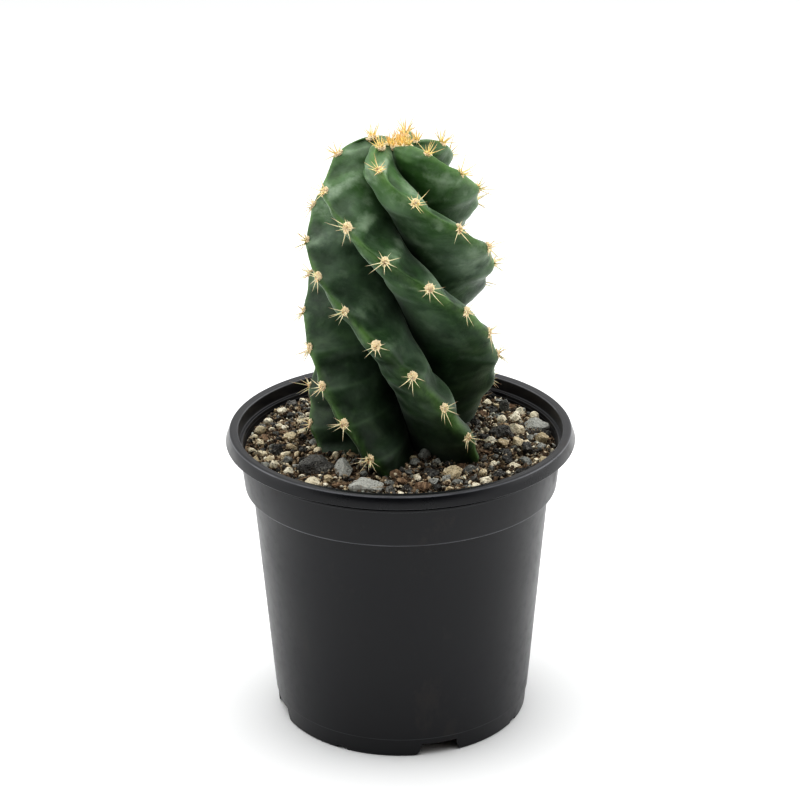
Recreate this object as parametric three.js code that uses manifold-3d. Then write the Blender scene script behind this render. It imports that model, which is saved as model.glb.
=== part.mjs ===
// A spiral cactus in a black nursery pot, filled with gritty potting mix.
// Millimetres, +Z up, origin in the middle of the pot's foot, -Y is the front.
import * as THREE from 'three';
import { mergeVertices } from 'three/addons/utils/BufferGeometryUtils.js';
import Module from 'manifold-3d';

const wasm = await Module();
wasm.setup();

const GAP = 0.35;                  // clearance between pieces that touch
const TWISTED_GAP = 0.4;           // the same, beside shapes that slant
const STEEP_ALLOWANCE = 1.3;       // wider still beside the steep flanks of the ribs

// Pot: 12 cm across the rim, one moulding of even wall
const POT_SIDES = 48;
const POT_HEIGHT = 105;
const RIM_RADIUS = 60;             // outside of the rolled flange
const RIM_MOUTH = 55.6;            // inner edge of the flange's flat top
const FLANGE_SKIRT = 3.8;          // height of the flange's turned-down skirt
const FLANGE_WALL = 1.2;
const FLANGE_STEP = 1.3;           // the flange's hollow starts this far outside the collar
const RIM_CORNER = 0.8;
const CORNER = 0.6;                // rounding of the other outer corners
const EDGE = 0.2;                  // small slope that softens a moulded step
const COLLAR_FOOT = 84.6;          // the wider collar begins here
const COLLAR_BEAD = 97.4;          // a small outward bead round the collar
const COLLAR_RADIUS = 53.9;        // at its foot
const COLLAR_TOP_RADIUS = 55.3;    // just under the bead
const BEAD = 0.5;                  // how far the bead stands out
const BODY_TOP_RADIUS = 51.3;
const BODY_FOOT_RADIUS = 44.95;
const BASE_BAND = 6.8;             // height of the narrower band at the foot
const BAND_DRAFT = 0.5;            // the band widens this much from its foot up
const FOOT_RADIUS = 44.1;
const FOOT_RING = 1.5;             // width of the ring that the pot stands on
const WALL = 1.2;
const LEDGE_HEIGHT = 100.1;        // narrow shelf inside, below the rim
const FLOOR_UNDERSIDE = 3.0;
const FLOOR_TOP = 4.4;
const NOTCH_ANGLE = 286.7;         // drainage notches in the foot, from +X
const NOTCH_HEIGHT = 4.5;
const NOTCH_TOP_WIDTH = 12.7;
const NOTCH_FOOT_WIDTH = 19;
const NOTCH_DEPTH = 3.6;           // how far a notch reaches in from the foot ring
const NOTCH_TOE = [0.8, 0.4];      // where its side turns out: beside its top, above the foot
const VENT_WIDTH = 4;              // small vents half way between the notches
const VENT_HEIGHT = 1;
const DRAIN_RADIUS = 4;
const DRAIN_CIRCLE = 24;
const DRAIN_SIDES = 20;
const CUT_DEPTH = 10;              // length of the shapes that cut holes

// Potting mix: rises from the wall towards the stem
const SOIL_RADIUS = 53.5;
const SOIL_EDGE = 97.6;
const SOIL_CROWN = 101;
const SOIL_SLOPE_START = 54;
const SOIL_SLOPE_RUN = 26;
const SOIL_WAVE = 0.35;
const WAVE_ACROSS = 0.31;
const WAVE_BACK = 0.27;
const WAVE_SKEW = 0.12;
const SOIL_RINGS = [24, 31, 38, 46];
const GRAIN_TRIES = 900;
const GRAIN_COUNT = 86;
const GRAIN_SMALL = 1.6;           // half the width of the smallest grain
const GRAIN_LARGE = 2.9;
const GRAIN_COARSE = 2.5;          // larger grains have more faces
const GRAIN_ROUGH = 0.12;
const GRAIN_WIDTH = [0.75, 0.25];  // least width and height as shares of the length, and
const GRAIN_HEIGHT = [0.65, 0.25]; // how much more there can be
const GRAIN_TUCK = 0.4;            // share of a grain kept clear of a named stone
const GRAIN_INNER = 27;            // grains lie between here and the wall
const GRAIN_SPACING = 0.92;        // closest centres, as a share of their two halves
const GRAIN_LIFT = 0.15;           // centre above the surface, as a share of its size

// Stem: five ribs that wind up to the left and lean back a little
const STEM_FOOT = 86;
const STEM_TOP = 205.9;
const TIP_DIMPLE = 2.8;            // the growing tip lies this deep between the young ribs
const TIP_DIMPLE_REACH = 6.5;
const TIP_FADE = 8;                // swellings fade out inside this radius
const STEM_RADIUS = 31.85;
const DOME_START = 140;
const DOME_SQUARENESS = 3.27;      // powers of the crown's rounded outline
const DOME_FULLNESS = 0.4;
const WAIST_START = 120;           // below this the stem narrows towards its foot
const WAIST_RUN = 20;
const WAIST_DEPTH = 1.8;
const TWIST_FOOT = 86;             // the ribs' start angles hold at this height
const TWIST_SPAN = 120;
const TWIST_EVEN = 187;            // degrees turned over the span
const TWIST_RISING = 91.8;         // more degrees, mostly near the crown
const RIB_START = [150.1, 67.4, -12.6, -80, -137.6];
const RIB_SWAY = [-3.1, 9.3, 14.5, 5.4, -6.3];
const SWAY_FOOT = 100;
const SWAY_SPAN = 105;
const LEAN_SIDE = -1.7;
const LEAN_BACK = 8.5;
const STEM_OFFSET = 0.17;          // middle of the stem, to the right of the pot's axis
const FURROW = 0.32;               // furrow radius as a share of the crest radius
const FURROW_ROUND = 0.05;
// Pairs hold at the soil and at the top. The first is how far a furrow lies from the rib above
// it to the one below, then a flank's share that folds over the crest, and its fullness.
const FURROW_PLACE = [0.49, 0.86];
const LOWER_FLANK = { columns: 5, fold: [0.32, 0.18], fullness: [0.26, 0.1] };
const UPPER_FLANK = { columns: 4, fold: [0.23, 0.46], fullness: [0.03, 0.4] };
const STRAIGHT_ROWS = 15;
const DOME_ROWS = 16;
const CREST_STEPS = 400;           // steps over the dome when areoles are spaced
const CREST_STEP = 0.2;            // and the height of a step below it
const HOLE_REACH = 20;             // the stem's hole goes on this far above the soil

// Areoles: spaced along each crest, measured from the tip of the stem
const AREOLE_FIRST = [3.7, 4.7, 13.4, 14.8, 13.7];
const AREOLE_STEP = [17.07, 17.03, 15.55, 14.55, 14.22];
const AREOLE_YOUNG = 5.5;          // a young one near the tip of the other ribs
const AREOLE_LOWEST = 103.5;
const LOW_AREOLE = 108;            // below this an areole may meet the potting mix
const AREOLE_RADIUS = 1.9;
const AREOLE_SUNK = 0.75;
const TUBERCLE = 0.7;              // swelling of the crest under an areole
const TUBERCLE_REACH = 3.6;
const SPINE_RADIUS = 0.36;
const SPINE_ROOT = 1.5;
const SPINE_APART = 0.75;          // the ring's roots stand this far from the middle
const SPINE_LENGTH = 5.2;
const SPINE_CROWN_LENGTH = 9.2;
const SPINE_SHORT = 0.8;           // the shortest spine, as a share of the full length
const SPINE_SPREAD = 56;           // degrees off the areole's own direction
const SPINE_CROWN_SPREAD = 24;
const SPREAD_SHARE = [0.85, 0.3];  // least share of the spread, and how much more there can be
const SPINE_RING = 4;
const SPINE_CLEARANCE = 105.2;     // no tip comes lower than this

// Named stones: centre x, y, half sizes across, back and up, turn, roughness
const STONES = {
  stone_lava_left: { at: [-27.6, -24.6], size: [6.2, 4.6, 3.6], turn: 20, rough: 0.16, seed: 11 },
  stone_oval_grey: { at: [-18.6, -29.6], size: [2.8, 5.4, 2.9], turn: 12, rough: 0.04, seed: 12 },
  stone_flat_pale: { at: [-11.8, -38.8], size: [5.4, 4.3, 2.5], turn: -8, rough: 0.07, seed: 13 },
  stone_cream_left: { at: [-28.8, -36.0], size: [2.7, 2.4, 2.1], turn: 0, rough: 0.06, seed: 14 },
  stone_cream_right: { at: [40.2, 5.6], size: [3.3, 3.0, 2.6], turn: 0, rough: 0.06, seed: 15 },
  stone_flat_grey: { at: [47.2, 12.4], size: [4.4, 3.6, 2.4], turn: 15, rough: 0.07, seed: 16 },
  stone_lava_right: { at: [34.6, 2.2], size: [3.9, 3.2, 2.8], turn: -25, rough: 0.15, seed: 17 },
  stone_tall_slate: { at: [37.2, 24.6], size: [2.0, 2.2, 3.8], turn: 10, rough: 0.08, seed: 18 },
  stone_porous_front: { at: [17.4, -32.0], size: [3.3, 2.8, 2.5], turn: 0, rough: 0.09, seed: 19 },
  stone_dark_front: { at: [9.8, -30.6], size: [3.2, 2.4, 1.9], turn: -12, rough: 0.12, seed: 20 },
  bark_chip_front: { at: [6.4, -40.2], size: [3.4, 2.6, 1.5], turn: 30, rough: 0.14, seed: 21 },
};
const STONE_LIFT = 0.3;            // centre above the surface, as a share of its height

const COLOURS = {
  pot: { color: 0x1c1d1f, roughness: 0.42, metalness: 0 },
  soil: { color: 0x5b4a38, roughness: 0.95, metalness: 0 },
  stem: { color: 0x2f5a34, roughness: 0.55, metalness: 0 },
  lava: { color: 0x3a3a3c, roughness: 0.95, metalness: 0 },
  grey: { color: 0x85888a, roughness: 0.85, metalness: 0 },
  cream: { color: 0xcdbf9f, roughness: 0.9, metalness: 0 },
  bark: { color: 0x5a3d28, roughness: 0.95, metalness: 0 },
};

const UP = new THREE.Vector3(0, 0, 1);
const radians = THREE.MathUtils.degToRad;
const clamp = THREE.MathUtils.clamp;

// A closed geometry as a solid that can be joined and cut
function solid(geometry) {
  const bare = geometry.clone();
  bare.deleteAttribute('normal');
  bare.deleteAttribute('uv');
  const merged = mergeVertices(bare, 1e-4);
  return new wasm.Manifold(new wasm.Mesh({
    numProp: 3,
    vertProperties: new Float32Array(merged.attributes.position.array),
    triVerts: new Uint32Array(merged.index.array),
  }));
}

// The largest piece of a solid, as a geometry
function geometryOf(body) {
  const pieces = body.decompose().sort((a, b) => b.volume() - a.volume());
  const mesh = pieces[0].getMesh();
  const geometry = new THREE.BufferGeometry();
  geometry.setAttribute('position', new THREE.Float32BufferAttribute(mesh.vertProperties, 3));
  geometry.setIndex(Array.from(mesh.triVerts));
  geometry.computeVertexNormals();
  return geometry;
}

// Repeatable random numbers between 0 and 1
function randomFrom(seed) {
  let state = seed >>> 0;
  return () => {
    state = (Math.imul(state, 1664525) + 1013904223) >>> 0;
    return state / 4294967296;
  };
}

// A lathed solid from radius and height pairs
function lathed(profile, sides) {
  const points = profile.map(([radius, height]) => new THREE.Vector2(radius, height));
  const geometry = new THREE.LatheGeometry(points, sides);
  geometry.rotateX(Math.PI / 2);
  return geometry;
}

// Pot
function potOutside() {
  const skirt = POT_HEIGHT - FLANGE_SKIRT;
  return [
    [0, FLOOR_UNDERSIDE],
    [FOOT_RADIUS - FOOT_RING, FLOOR_UNDERSIDE],
    [FOOT_RADIUS - FOOT_RING, 0],
    [FOOT_RADIUS - CORNER, 0],
    [FOOT_RADIUS, CORNER],
    [FOOT_RADIUS + BAND_DRAFT, BASE_BAND - EDGE],
    [BODY_FOOT_RADIUS, BASE_BAND + EDGE],
    [BODY_TOP_RADIUS, COLLAR_FOOT - EDGE],
    [COLLAR_RADIUS - EDGE, COLLAR_FOOT + EDGE],
    [COLLAR_RADIUS, COLLAR_FOOT + CORNER],
    [COLLAR_TOP_RADIUS, COLLAR_BEAD - EDGE],
    [COLLAR_TOP_RADIUS + BEAD, COLLAR_BEAD + EDGE],
    [COLLAR_TOP_RADIUS + CORNER, skirt - EDGE],
    [COLLAR_TOP_RADIUS + FLANGE_STEP, skirt + CORNER],
    [COLLAR_TOP_RADIUS + FLANGE_STEP, POT_HEIGHT - FLANGE_WALL],
    [RIM_RADIUS - FLANGE_WALL, POT_HEIGHT - FLANGE_WALL],
    [RIM_RADIUS - FLANGE_WALL, skirt],
    [RIM_RADIUS, skirt],
    [RIM_RADIUS, POT_HEIGHT - RIM_CORNER],
    [RIM_RADIUS - EDGE, POT_HEIGHT - EDGE],
    [RIM_RADIUS - RIM_CORNER, POT_HEIGHT],
  ];
}

function potInside() {
  return [
    [RIM_MOUTH, POT_HEIGHT],
    [COLLAR_TOP_RADIUS, LEDGE_HEIGHT],
    [COLLAR_TOP_RADIUS - WALL, LEDGE_HEIGHT],
    [COLLAR_RADIUS - WALL, COLLAR_FOOT + WALL + EDGE],
    [BODY_TOP_RADIUS - WALL, COLLAR_FOOT + WALL - EDGE],
    [BODY_FOOT_RADIUS - WALL, BASE_BAND + EDGE],
    [FOOT_RADIUS - WALL, FLOOR_TOP + CORNER],
    [FOOT_RADIUS - WALL - CORNER, FLOOR_TOP],
    [0, FLOOR_TOP],
  ];
}

// A drainage notch: an arch whose sides flare out to the foot, pushed in through the wall
function notchCutter() {
  const [beside, above] = NOTCH_TOE;
  const arch = new THREE.Shape();
  arch.moveTo(-NOTCH_FOOT_WIDTH / 2, -1);
  arch.lineTo(NOTCH_FOOT_WIDTH / 2, -1);
  arch.lineTo(NOTCH_FOOT_WIDTH / 2, 0);
  arch.quadraticCurveTo(NOTCH_TOP_WIDTH / 2 + beside, above, NOTCH_TOP_WIDTH / 2, NOTCH_HEIGHT);
  arch.lineTo(-NOTCH_TOP_WIDTH / 2, NOTCH_HEIGHT);
  arch.quadraticCurveTo(-NOTCH_TOP_WIDTH / 2 - beside, above, -NOTCH_FOOT_WIDTH / 2, 0);
  const finish = { depth: CUT_DEPTH, bevelEnabled: false, curveSegments: 4 };
  const geometry = new THREE.ExtrudeGeometry(arch, finish);
  geometry.rotateX(Math.PI / 2);
  geometry.rotateZ(Math.PI / 2);
  geometry.translate(FOOT_RADIUS - FOOT_RING - NOTCH_DEPTH, 0, 0);
  return geometry;
}

function ventCutter() {
  const geometry = new THREE.BoxGeometry(CUT_DEPTH, VENT_WIDTH, 2 * VENT_HEIGHT);
  geometry.translate(FOOT_RADIUS, 0, 0);
  return geometry;
}

function drainCutter(x, y) {
  const geometry = new THREE.CylinderGeometry(DRAIN_RADIUS, DRAIN_RADIUS, CUT_DEPTH, DRAIN_SIDES);
  geometry.rotateX(Math.PI / 2);
  geometry.translate(x, y, FLOOR_TOP);
  return geometry;
}

function makePot() {
  let body = solid(lathed([...potOutside(), ...potInside()], POT_SIDES));
  body = body.subtract(solid(drainCutter(0, 0)));
  for (let quarter = 0; quarter < 4; quarter += 1) {
    const notchTurn = radians(NOTCH_ANGLE + 90 * quarter);
    const ventTurn = notchTurn + Math.PI / 4;
    const drainX = DRAIN_CIRCLE * Math.cos(ventTurn);
    const drainY = DRAIN_CIRCLE * Math.sin(ventTurn);
    body = body.subtract(solid(notchCutter().rotateZ(notchTurn)));
    body = body.subtract(solid(ventCutter().rotateZ(ventTurn)));
    body = body.subtract(solid(drainCutter(drainX, drainY)));
  }
  return geometryOf(body);
}

// Stem: height and crest radius at a share of the way round the dome, and below it
function domeLevel(angle) {
  const rise = Math.sin(angle) ** (2 / DOME_SQUARENESS);
  const radius = STEM_RADIUS * Math.cos(angle) ** (2 * DOME_FULLNESS);
  return { z: DOME_START + (STEM_TOP - DOME_START) * rise, radius };
}

function straightLevel(z) {
  const waist = clamp((WAIST_START - z) / WAIST_RUN, 0, 2);
  return { z, radius: STEM_RADIUS - WAIST_DEPTH * waist * waist };
}

function stemCentre(z) {
  const rise = (z - TWIST_FOOT) / TWIST_SPAN - 0.5;
  return new THREE.Vector3(STEM_OFFSET + LEAN_SIDE * rise, LEAN_BACK * rise, z);
}

// Angle of a rib's crest at a height, in degrees from +X
function ribAngle(rib, z) {
  const rise = (z - TWIST_FOOT) / TWIST_SPAN;
  const sway = RIB_SWAY[rib % 5] * Math.sin(Math.PI * clamp((z - SWAY_FOOT) / SWAY_SPAN, 0, 1));
  const wraps = rib >= 5 ? -360 : 0;
  return RIB_START[rib % 5] + wraps - TWIST_EVEN * rise - TWIST_RISING * rise ** 3 + sway;
}

// A value that goes evenly from the first one at the soil to the second one at the top
function upward([low, high], z) {
  return low + (high - low) * clamp((z - SOIL_CROWN) / (STEM_TOP - SOIL_CROWN), 0, 1);
}

// How far the skin sinks round the growing tip
function tipDimple(radius, z) {
  const rise = clamp((z - DOME_START) / (STEM_TOP - DOME_START), 0, 1);
  return TIP_DIMPLE * rise * Math.exp(-((radius / TIP_DIMPLE_REACH) ** 2));
}

// How far a flank has come in at a share of the way from crest to furrow
function flankDepth(share, flank, z) {
  const fold = upward(flank.fold, z);
  const fullness = upward(flank.fullness, z);
  const full = 1 - fold / 2 - FURROW_ROUND / 2;
  let straight = full - (1 - share) ** 2 / (2 * FURROW_ROUND);
  if (share < fold) straight = share * share / (2 * fold);
  else if (share < 1 - FURROW_ROUND) straight = share - fold / 2;
  return (1 - fullness) * straight / full + fullness * share ** 3;
}

function crestPoint(rib, level) {
  const turn = radians(ribAngle(rib, level.z));
  const out = new THREE.Vector3(Math.cos(turn), Math.sin(turn), 0);
  const point = stemCentre(level.z).addScaledVector(out, level.radius);
  return point.setZ(level.z - tipDimple(level.radius, level.z));
}

// Places along a crest by their distance from the tip, with the way each one faces
function areolesOf(rib) {
  const wanted = [];
  if (AREOLE_FIRST[rib] > 2 * AREOLE_YOUNG) wanted.push(AREOLE_YOUNG);
  for (let far = AREOLE_FIRST[rib]; far < STEM_TOP; far += AREOLE_STEP[rib]) wanted.push(far);
  const found = [];
  let walked = 0;
  let before = stemCentre(STEM_TOP).setZ(STEM_TOP - TIP_DIMPLE);
  const visit = (level, slope) => {
    const here = crestPoint(rib, level);
    walked += here.distanceTo(before);
    before = here;
    if (walked < wanted[found.length] || level.z < AREOLE_LOWEST) return;
    const turn = radians(ribAngle(rib, level.z));
    const facing = new THREE.Vector3(
      Math.cos(turn) * Math.cos(slope), Math.sin(turn) * Math.cos(slope), Math.sin(slope));
    found.push({ at: here, facing, fromTip: walked });
  };
  const turnOf = (i) => i / CREST_STEPS * Math.PI / 2;
  for (let i = CREST_STEPS; i > 0; i -= 1) {
    const above = domeLevel(turnOf(Math.min(i + 1, CREST_STEPS)));
    const below = domeLevel(turnOf(i - 1));
    visit(domeLevel(turnOf(i)), Math.atan2(below.radius - above.radius, above.z - below.z));
  }
  for (let z = DOME_START; z > AREOLE_LOWEST; z -= CREST_STEP) visit(straightLevel(z), 0);
  return found;
}

const areoles = RIB_START.map((start, rib) => areolesOf(rib));

// The crest swells a little under each areole
function swelling(rib, z) {
  return areoles[rib % 5].reduce(
    (sum, areole) => sum + TUBERCLE * Math.exp(-(((areole.at.z - z) / TUBERCLE_REACH) ** 2)), 0);
}

// Angle and radius on a flank, at a share of the way from its crest down to its furrow
function flankSpoke(level, rib, furrowTurn, share, flank) {
  const crestTurn = ribAngle(rib, level.z);
  const fade = Math.max(0, 1 - 2 * share) * Math.min(1, level.radius / TIP_FADE);
  const inwards = 1 - (1 - FURROW) * flankDepth(share, flank, level.z);
  return {
    turn: radians(crestTurn + (furrowTurn - crestTurn) * share),
    radius: level.radius * inwards + swelling(rib, level.z) * fade,
  };
}

function stemSpokes(level) {
  const spokes = [];
  for (let rib = 0; rib < 5; rib += 1) {
    const crest = ribAngle(rib, level.z);
    const furrow = crest + (ribAngle(rib + 1, level.z) - crest) * upward(FURROW_PLACE, level.z);
    for (let i = 0; i < LOWER_FLANK.columns; i += 1) {
      spokes.push(flankSpoke(level, rib, furrow, i / LOWER_FLANK.columns, LOWER_FLANK));
    }
    for (let i = 0; i < UPPER_FLANK.columns; i += 1) {
      spokes.push(flankSpoke(level, rib + 1, furrow, 1 - i / UPPER_FLANK.columns, UPPER_FLANK));
    }
  }
  return spokes;
}

// How steeply the outline falls or rises beside a spoke
function steepness(spoke, next) {
  const apart = Math.atan2(Math.sin(next.turn - spoke.turn), Math.cos(next.turn - spoke.turn));
  return Math.abs((next.radius - spoke.radius) / (apart * spoke.radius));
}

// One closed ring of points round the stem; a gap moves it out, further where a flank is steep
function stemRing(level, gap) {
  const spokes = stemSpokes(level);
  return spokes.map((spoke, i) => {
    const before = spokes[(i + spokes.length - 1) % spokes.length];
    const after = spokes[(i + 1) % spokes.length];
    const steep = Math.max(steepness(spoke, before), steepness(spoke, after));
    const radius = spoke.radius + gap * (1 + STEEP_ALLOWANCE * steep);
    return stemCentre(level.z).add(new THREE.Vector3(
      radius * Math.cos(spoke.turn), radius * Math.sin(spoke.turn), -tipDimple(radius, level.z)));
  });
}

// Closes a stack of rings, lowest first, with a point at each end
function stacked(rings, bottom, top) {
  const count = rings[0].length;
  const points = [...rings.flat(), bottom, top];
  const low = points.length - 2;
  const index = [];
  for (let row = 0; row < rings.length; row += 1) {
    for (let i = 0; i < count; i += 1) {
      const a = row * count + i;
      const b = row * count + (i + 1) % count;
      if (row === 0) index.push(low, a, b);
      if (row === rings.length - 1) index.push(low + 1, b, a);
      else index.push(a, a + count, b, b, a + count, b + count);
    }
  }
  const geometry = new THREE.BufferGeometry().setFromPoints(points);
  geometry.setIndex(index);
  return geometry;
}

function stemLevels() {
  const levels = [];
  for (let i = 0; i < STRAIGHT_ROWS; i += 1) {
    levels.push(straightLevel(STEM_FOOT + (DOME_START - STEM_FOOT) * i / STRAIGHT_ROWS));
  }
  for (let i = 0; i < DOME_ROWS; i += 1) levels.push(domeLevel(i / DOME_ROWS * Math.PI / 2));
  return levels;
}

function stemBody() {
  const rings = stemLevels().map((level) => stemRing(level, 0));
  const tip = stemCentre(STEM_TOP).setZ(STEM_TOP - TIP_DIMPLE);
  return stacked(rings, stemCentre(STEM_FOOT), tip);
}

// The hole that the stem leaves in the potting mix
function stemHole() {
  const levels = stemLevels().filter((level) => level.z < SOIL_CROWN + HOLE_REACH);
  const rings = levels.map((level) => stemRing(level, TWISTED_GAP));
  const lowest = levels[0].z - GAP;
  rings[0].forEach((point) => point.setZ(lowest));
  return stacked(rings, stemCentre(lowest), stemCentre(levels[levels.length - 1].z));
}

function areolePad(areole, grow) {
  const geometry = new THREE.OctahedronGeometry(AREOLE_RADIUS + grow, 0);
  const centre = areole.at.clone().addScaledVector(areole.facing, -AREOLE_SUNK);
  geometry.translate(centre.x, centre.y, centre.z);
  return geometry;
}

function spine(areole, direction, length, root) {
  const geometry = new THREE.ConeGeometry(SPINE_RADIUS, length + SPINE_ROOT, 3);
  geometry.translate(0, (length - SPINE_ROOT) / 2, 0);
  const lowest = (SPINE_CLEARANCE - areole.at.z) / length;
  if (direction.z < lowest) {
    const flat = Math.hypot(direction.x, direction.y);
    const kept = Math.sqrt(1 - lowest * lowest) / flat;
    direction.set(direction.x * kept, direction.y * kept, lowest);
  }
  geometry.applyQuaternion(
    new THREE.Quaternion().setFromUnitVectors(new THREE.Vector3(0, 1, 0), direction));
  geometry.translate(root.x, root.y, root.z);
  return geometry;
}

// A straight spine in the middle of an areole and a ring of slanted ones round it
function spinesOf(areole, random) {
  const crown = areole.fromTip < 2 * AREOLE_YOUNG;
  const length = crown ? SPINE_CROWN_LENGTH : SPINE_LENGTH;
  const spread = crown ? SPINE_CROWN_SPREAD : SPINE_SPREAD;
  const side = new THREE.Vector3().crossVectors(UP, areole.facing).normalize();
  const rise = new THREE.Vector3().crossVectors(areole.facing, side);
  const turned = random() * Math.PI;
  const spines = [spine(areole, areole.facing.clone(), length * SPINE_SHORT, areole.at)];
  for (let i = 0; i < SPINE_RING; i += 1) {
    const round = turned + 2 * Math.PI * i / SPINE_RING;
    const tilt = radians(spread * (SPREAD_SHARE[0] + SPREAD_SHARE[1] * random()));
    const outward = side.clone().multiplyScalar(Math.cos(round)).addScaledVector(rise, Math.sin(round));
    const direction = areole.facing.clone().multiplyScalar(Math.cos(tilt))
      .addScaledVector(outward, Math.sin(tilt));
    const root = areole.at.clone().addScaledVector(outward, SPINE_APART);
    const share = SPINE_SHORT + (1 - SPINE_SHORT) * random();
    spines.push(spine(areole, direction, length * share, root));
  }
  return spines;
}

function makeStem() {
  const random = randomFrom(5);
  let body = solid(stemBody());
  for (const areole of areoles.flat()) {
    body = body.add(solid(areolePad(areole, 0)));
    for (const geometry of spinesOf(areole, random)) body = body.add(solid(geometry));
  }
  return geometryOf(body);
}

// Potting mix
function soilHeight(x, y) {
  const rise = clamp((SOIL_SLOPE_START - Math.hypot(x, y)) / SOIL_SLOPE_RUN, 0, 1);
  const wave = SOIL_WAVE * (Math.sin(x * WAVE_ACROSS + 1) + Math.cos(y * WAVE_BACK - x * WAVE_SKEW));
  return SOIL_EDGE + (SOIL_CROWN - SOIL_EDGE) * rise + wave;
}

function soilBody() {
  const wall = potInside().slice(3).reverse();
  const rings = [];
  const ringAt = (radius, height) => {
    const ring = [];
    for (let i = 0; i < POT_SIDES; i += 1) {
      const turn = -2 * Math.PI * i / POT_SIDES;
      const x = radius * Math.cos(turn);
      const y = radius * Math.sin(turn);
      ring.push(new THREE.Vector3(x, y, height(x, y)));
    }
    return ring;
  };
  for (const [radius, height] of wall) {
    if (radius > 0) rings.push(ringAt(radius - GAP, () => height + GAP));
  }
  rings.push(ringAt(SOIL_RADIUS, soilHeight));
  for (const radius of [...SOIL_RINGS].reverse()) rings.push(ringAt(radius, soilHeight));
  const bottom = new THREE.Vector3(0, 0, FLOOR_TOP + GAP);
  return stacked(rings, bottom, new THREE.Vector3(0, 0, soilHeight(0, 0)));
}

// A rounded shape roughened into a stone about its own middle
function pebble(geometry, size, rough, random) {
  geometry.deleteAttribute('normal');
  geometry.deleteAttribute('uv');
  const merged = mergeVertices(geometry);
  const position = merged.attributes.position;
  for (let i = 0; i < position.count; i += 1) {
    const swell = 1 + rough * (2 * random() - 1);
    position.setXYZ(i, position.getX(i) * size[0] * swell,
      position.getY(i) * size[1] * swell, position.getZ(i) * size[2] * swell);
  }
  return merged;
}

function stoneGeometry(stone, grow) {
  const size = stone.size.map((half) => half + grow);
  const random = randomFrom(stone.seed);
  const geometry = pebble(new THREE.IcosahedronGeometry(1, 1), size, stone.rough, random);
  const [x, y] = stone.at;
  geometry.rotateZ(radians(stone.turn));
  geometry.translate(x, y, soilHeight(x, y) + STONE_LIFT * stone.size[2]);
  return geometry;
}

// Grains of pumice and lava, spread over the surface without crowding
function grains() {
  const random = randomFrom(77);
  const placed = [];
  const geometries = [];
  for (let tries = 0; tries < GRAIN_TRIES && placed.length < GRAIN_COUNT; tries += 1) {
    const half = GRAIN_SMALL + (GRAIN_LARGE - GRAIN_SMALL) * random() ** 2;
    const share = random();
    const radius = Math.sqrt(GRAIN_INNER ** 2 * (1 - share) + SOIL_RADIUS ** 2 * share) - half;
    const turn = 2 * Math.PI * random();
    const x = radius * Math.cos(turn);
    const y = radius * Math.sin(turn);
    const near = (other, reach) => Math.hypot(other.x - x, other.y - y) < reach;
    const crowded = placed.some((other) => near(other, GRAIN_SPACING * (other.half + half)));
    const covered = Object.values(STONES).some(({ at, size }) => (
      near({ x: at[0], y: at[1] }, Math.max(size[0], size[1]) + GRAIN_TUCK * half)));
    if (crowded || covered) continue;
    placed.push({ x, y, half });
    const width = half * (GRAIN_WIDTH[0] + GRAIN_WIDTH[1] * random());
    const height = half * (GRAIN_HEIGHT[0] + GRAIN_HEIGHT[1] * random());
    const size = [half, width, height];
    const Round = half > GRAIN_COARSE ? THREE.IcosahedronGeometry : THREE.OctahedronGeometry;
    const geometry = pebble(new Round(1, 0).rotateX(random()), size, GRAIN_ROUGH, random);
    geometry.rotateZ(Math.PI * random());
    geometry.translate(x, y, soilHeight(x, y) + GRAIN_LIFT * half);
    geometries.push(geometry);
  }
  return geometries;
}

function makeSoil() {
  let body = solid(soilBody());
  for (const geometry of grains()) body = body.add(solid(geometry));
  for (const stone of Object.values(STONES)) {
    body = body.subtract(solid(stoneGeometry(stone, TWISTED_GAP)));
  }
  body = body.subtract(solid(stemHole()));
  for (const areole of areoles.flat()) {
    if (areole.at.z < LOW_AREOLE) body = body.subtract(solid(areolePad(areole, TWISTED_GAP)));
  }
  return geometryOf(body);
}

function addPiece(group, name, geometry, finish) {
  const piece = new THREE.Mesh(geometry, new THREE.MeshStandardMaterial(finish));
  piece.name = name;
  group.add(piece);
}

function stoneFinish(name) {
  if (name.includes('lava') || name.includes('dark')) return COLOURS.lava;
  if (name.includes('bark')) return COLOURS.bark;
  if (name.includes('cream') || name.includes('porous')) return COLOURS.cream;
  return COLOURS.grey;
}

const plant = new THREE.Group();
addPiece(plant, 'pot', makePot(), COLOURS.pot);
addPiece(plant, 'soil', makeSoil(), COLOURS.soil);
addPiece(plant, 'stem', makeStem(), COLOURS.stem);
for (const [name, stone] of Object.entries(STONES)) {
  addPiece(plant, name, stoneGeometry(stone, 0), stoneFinish(name));
}

export default plant;
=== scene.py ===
import math
import random

import bmesh
import bpy
import numpy as np
from mathutils import Matrix, Vector, noise


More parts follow.
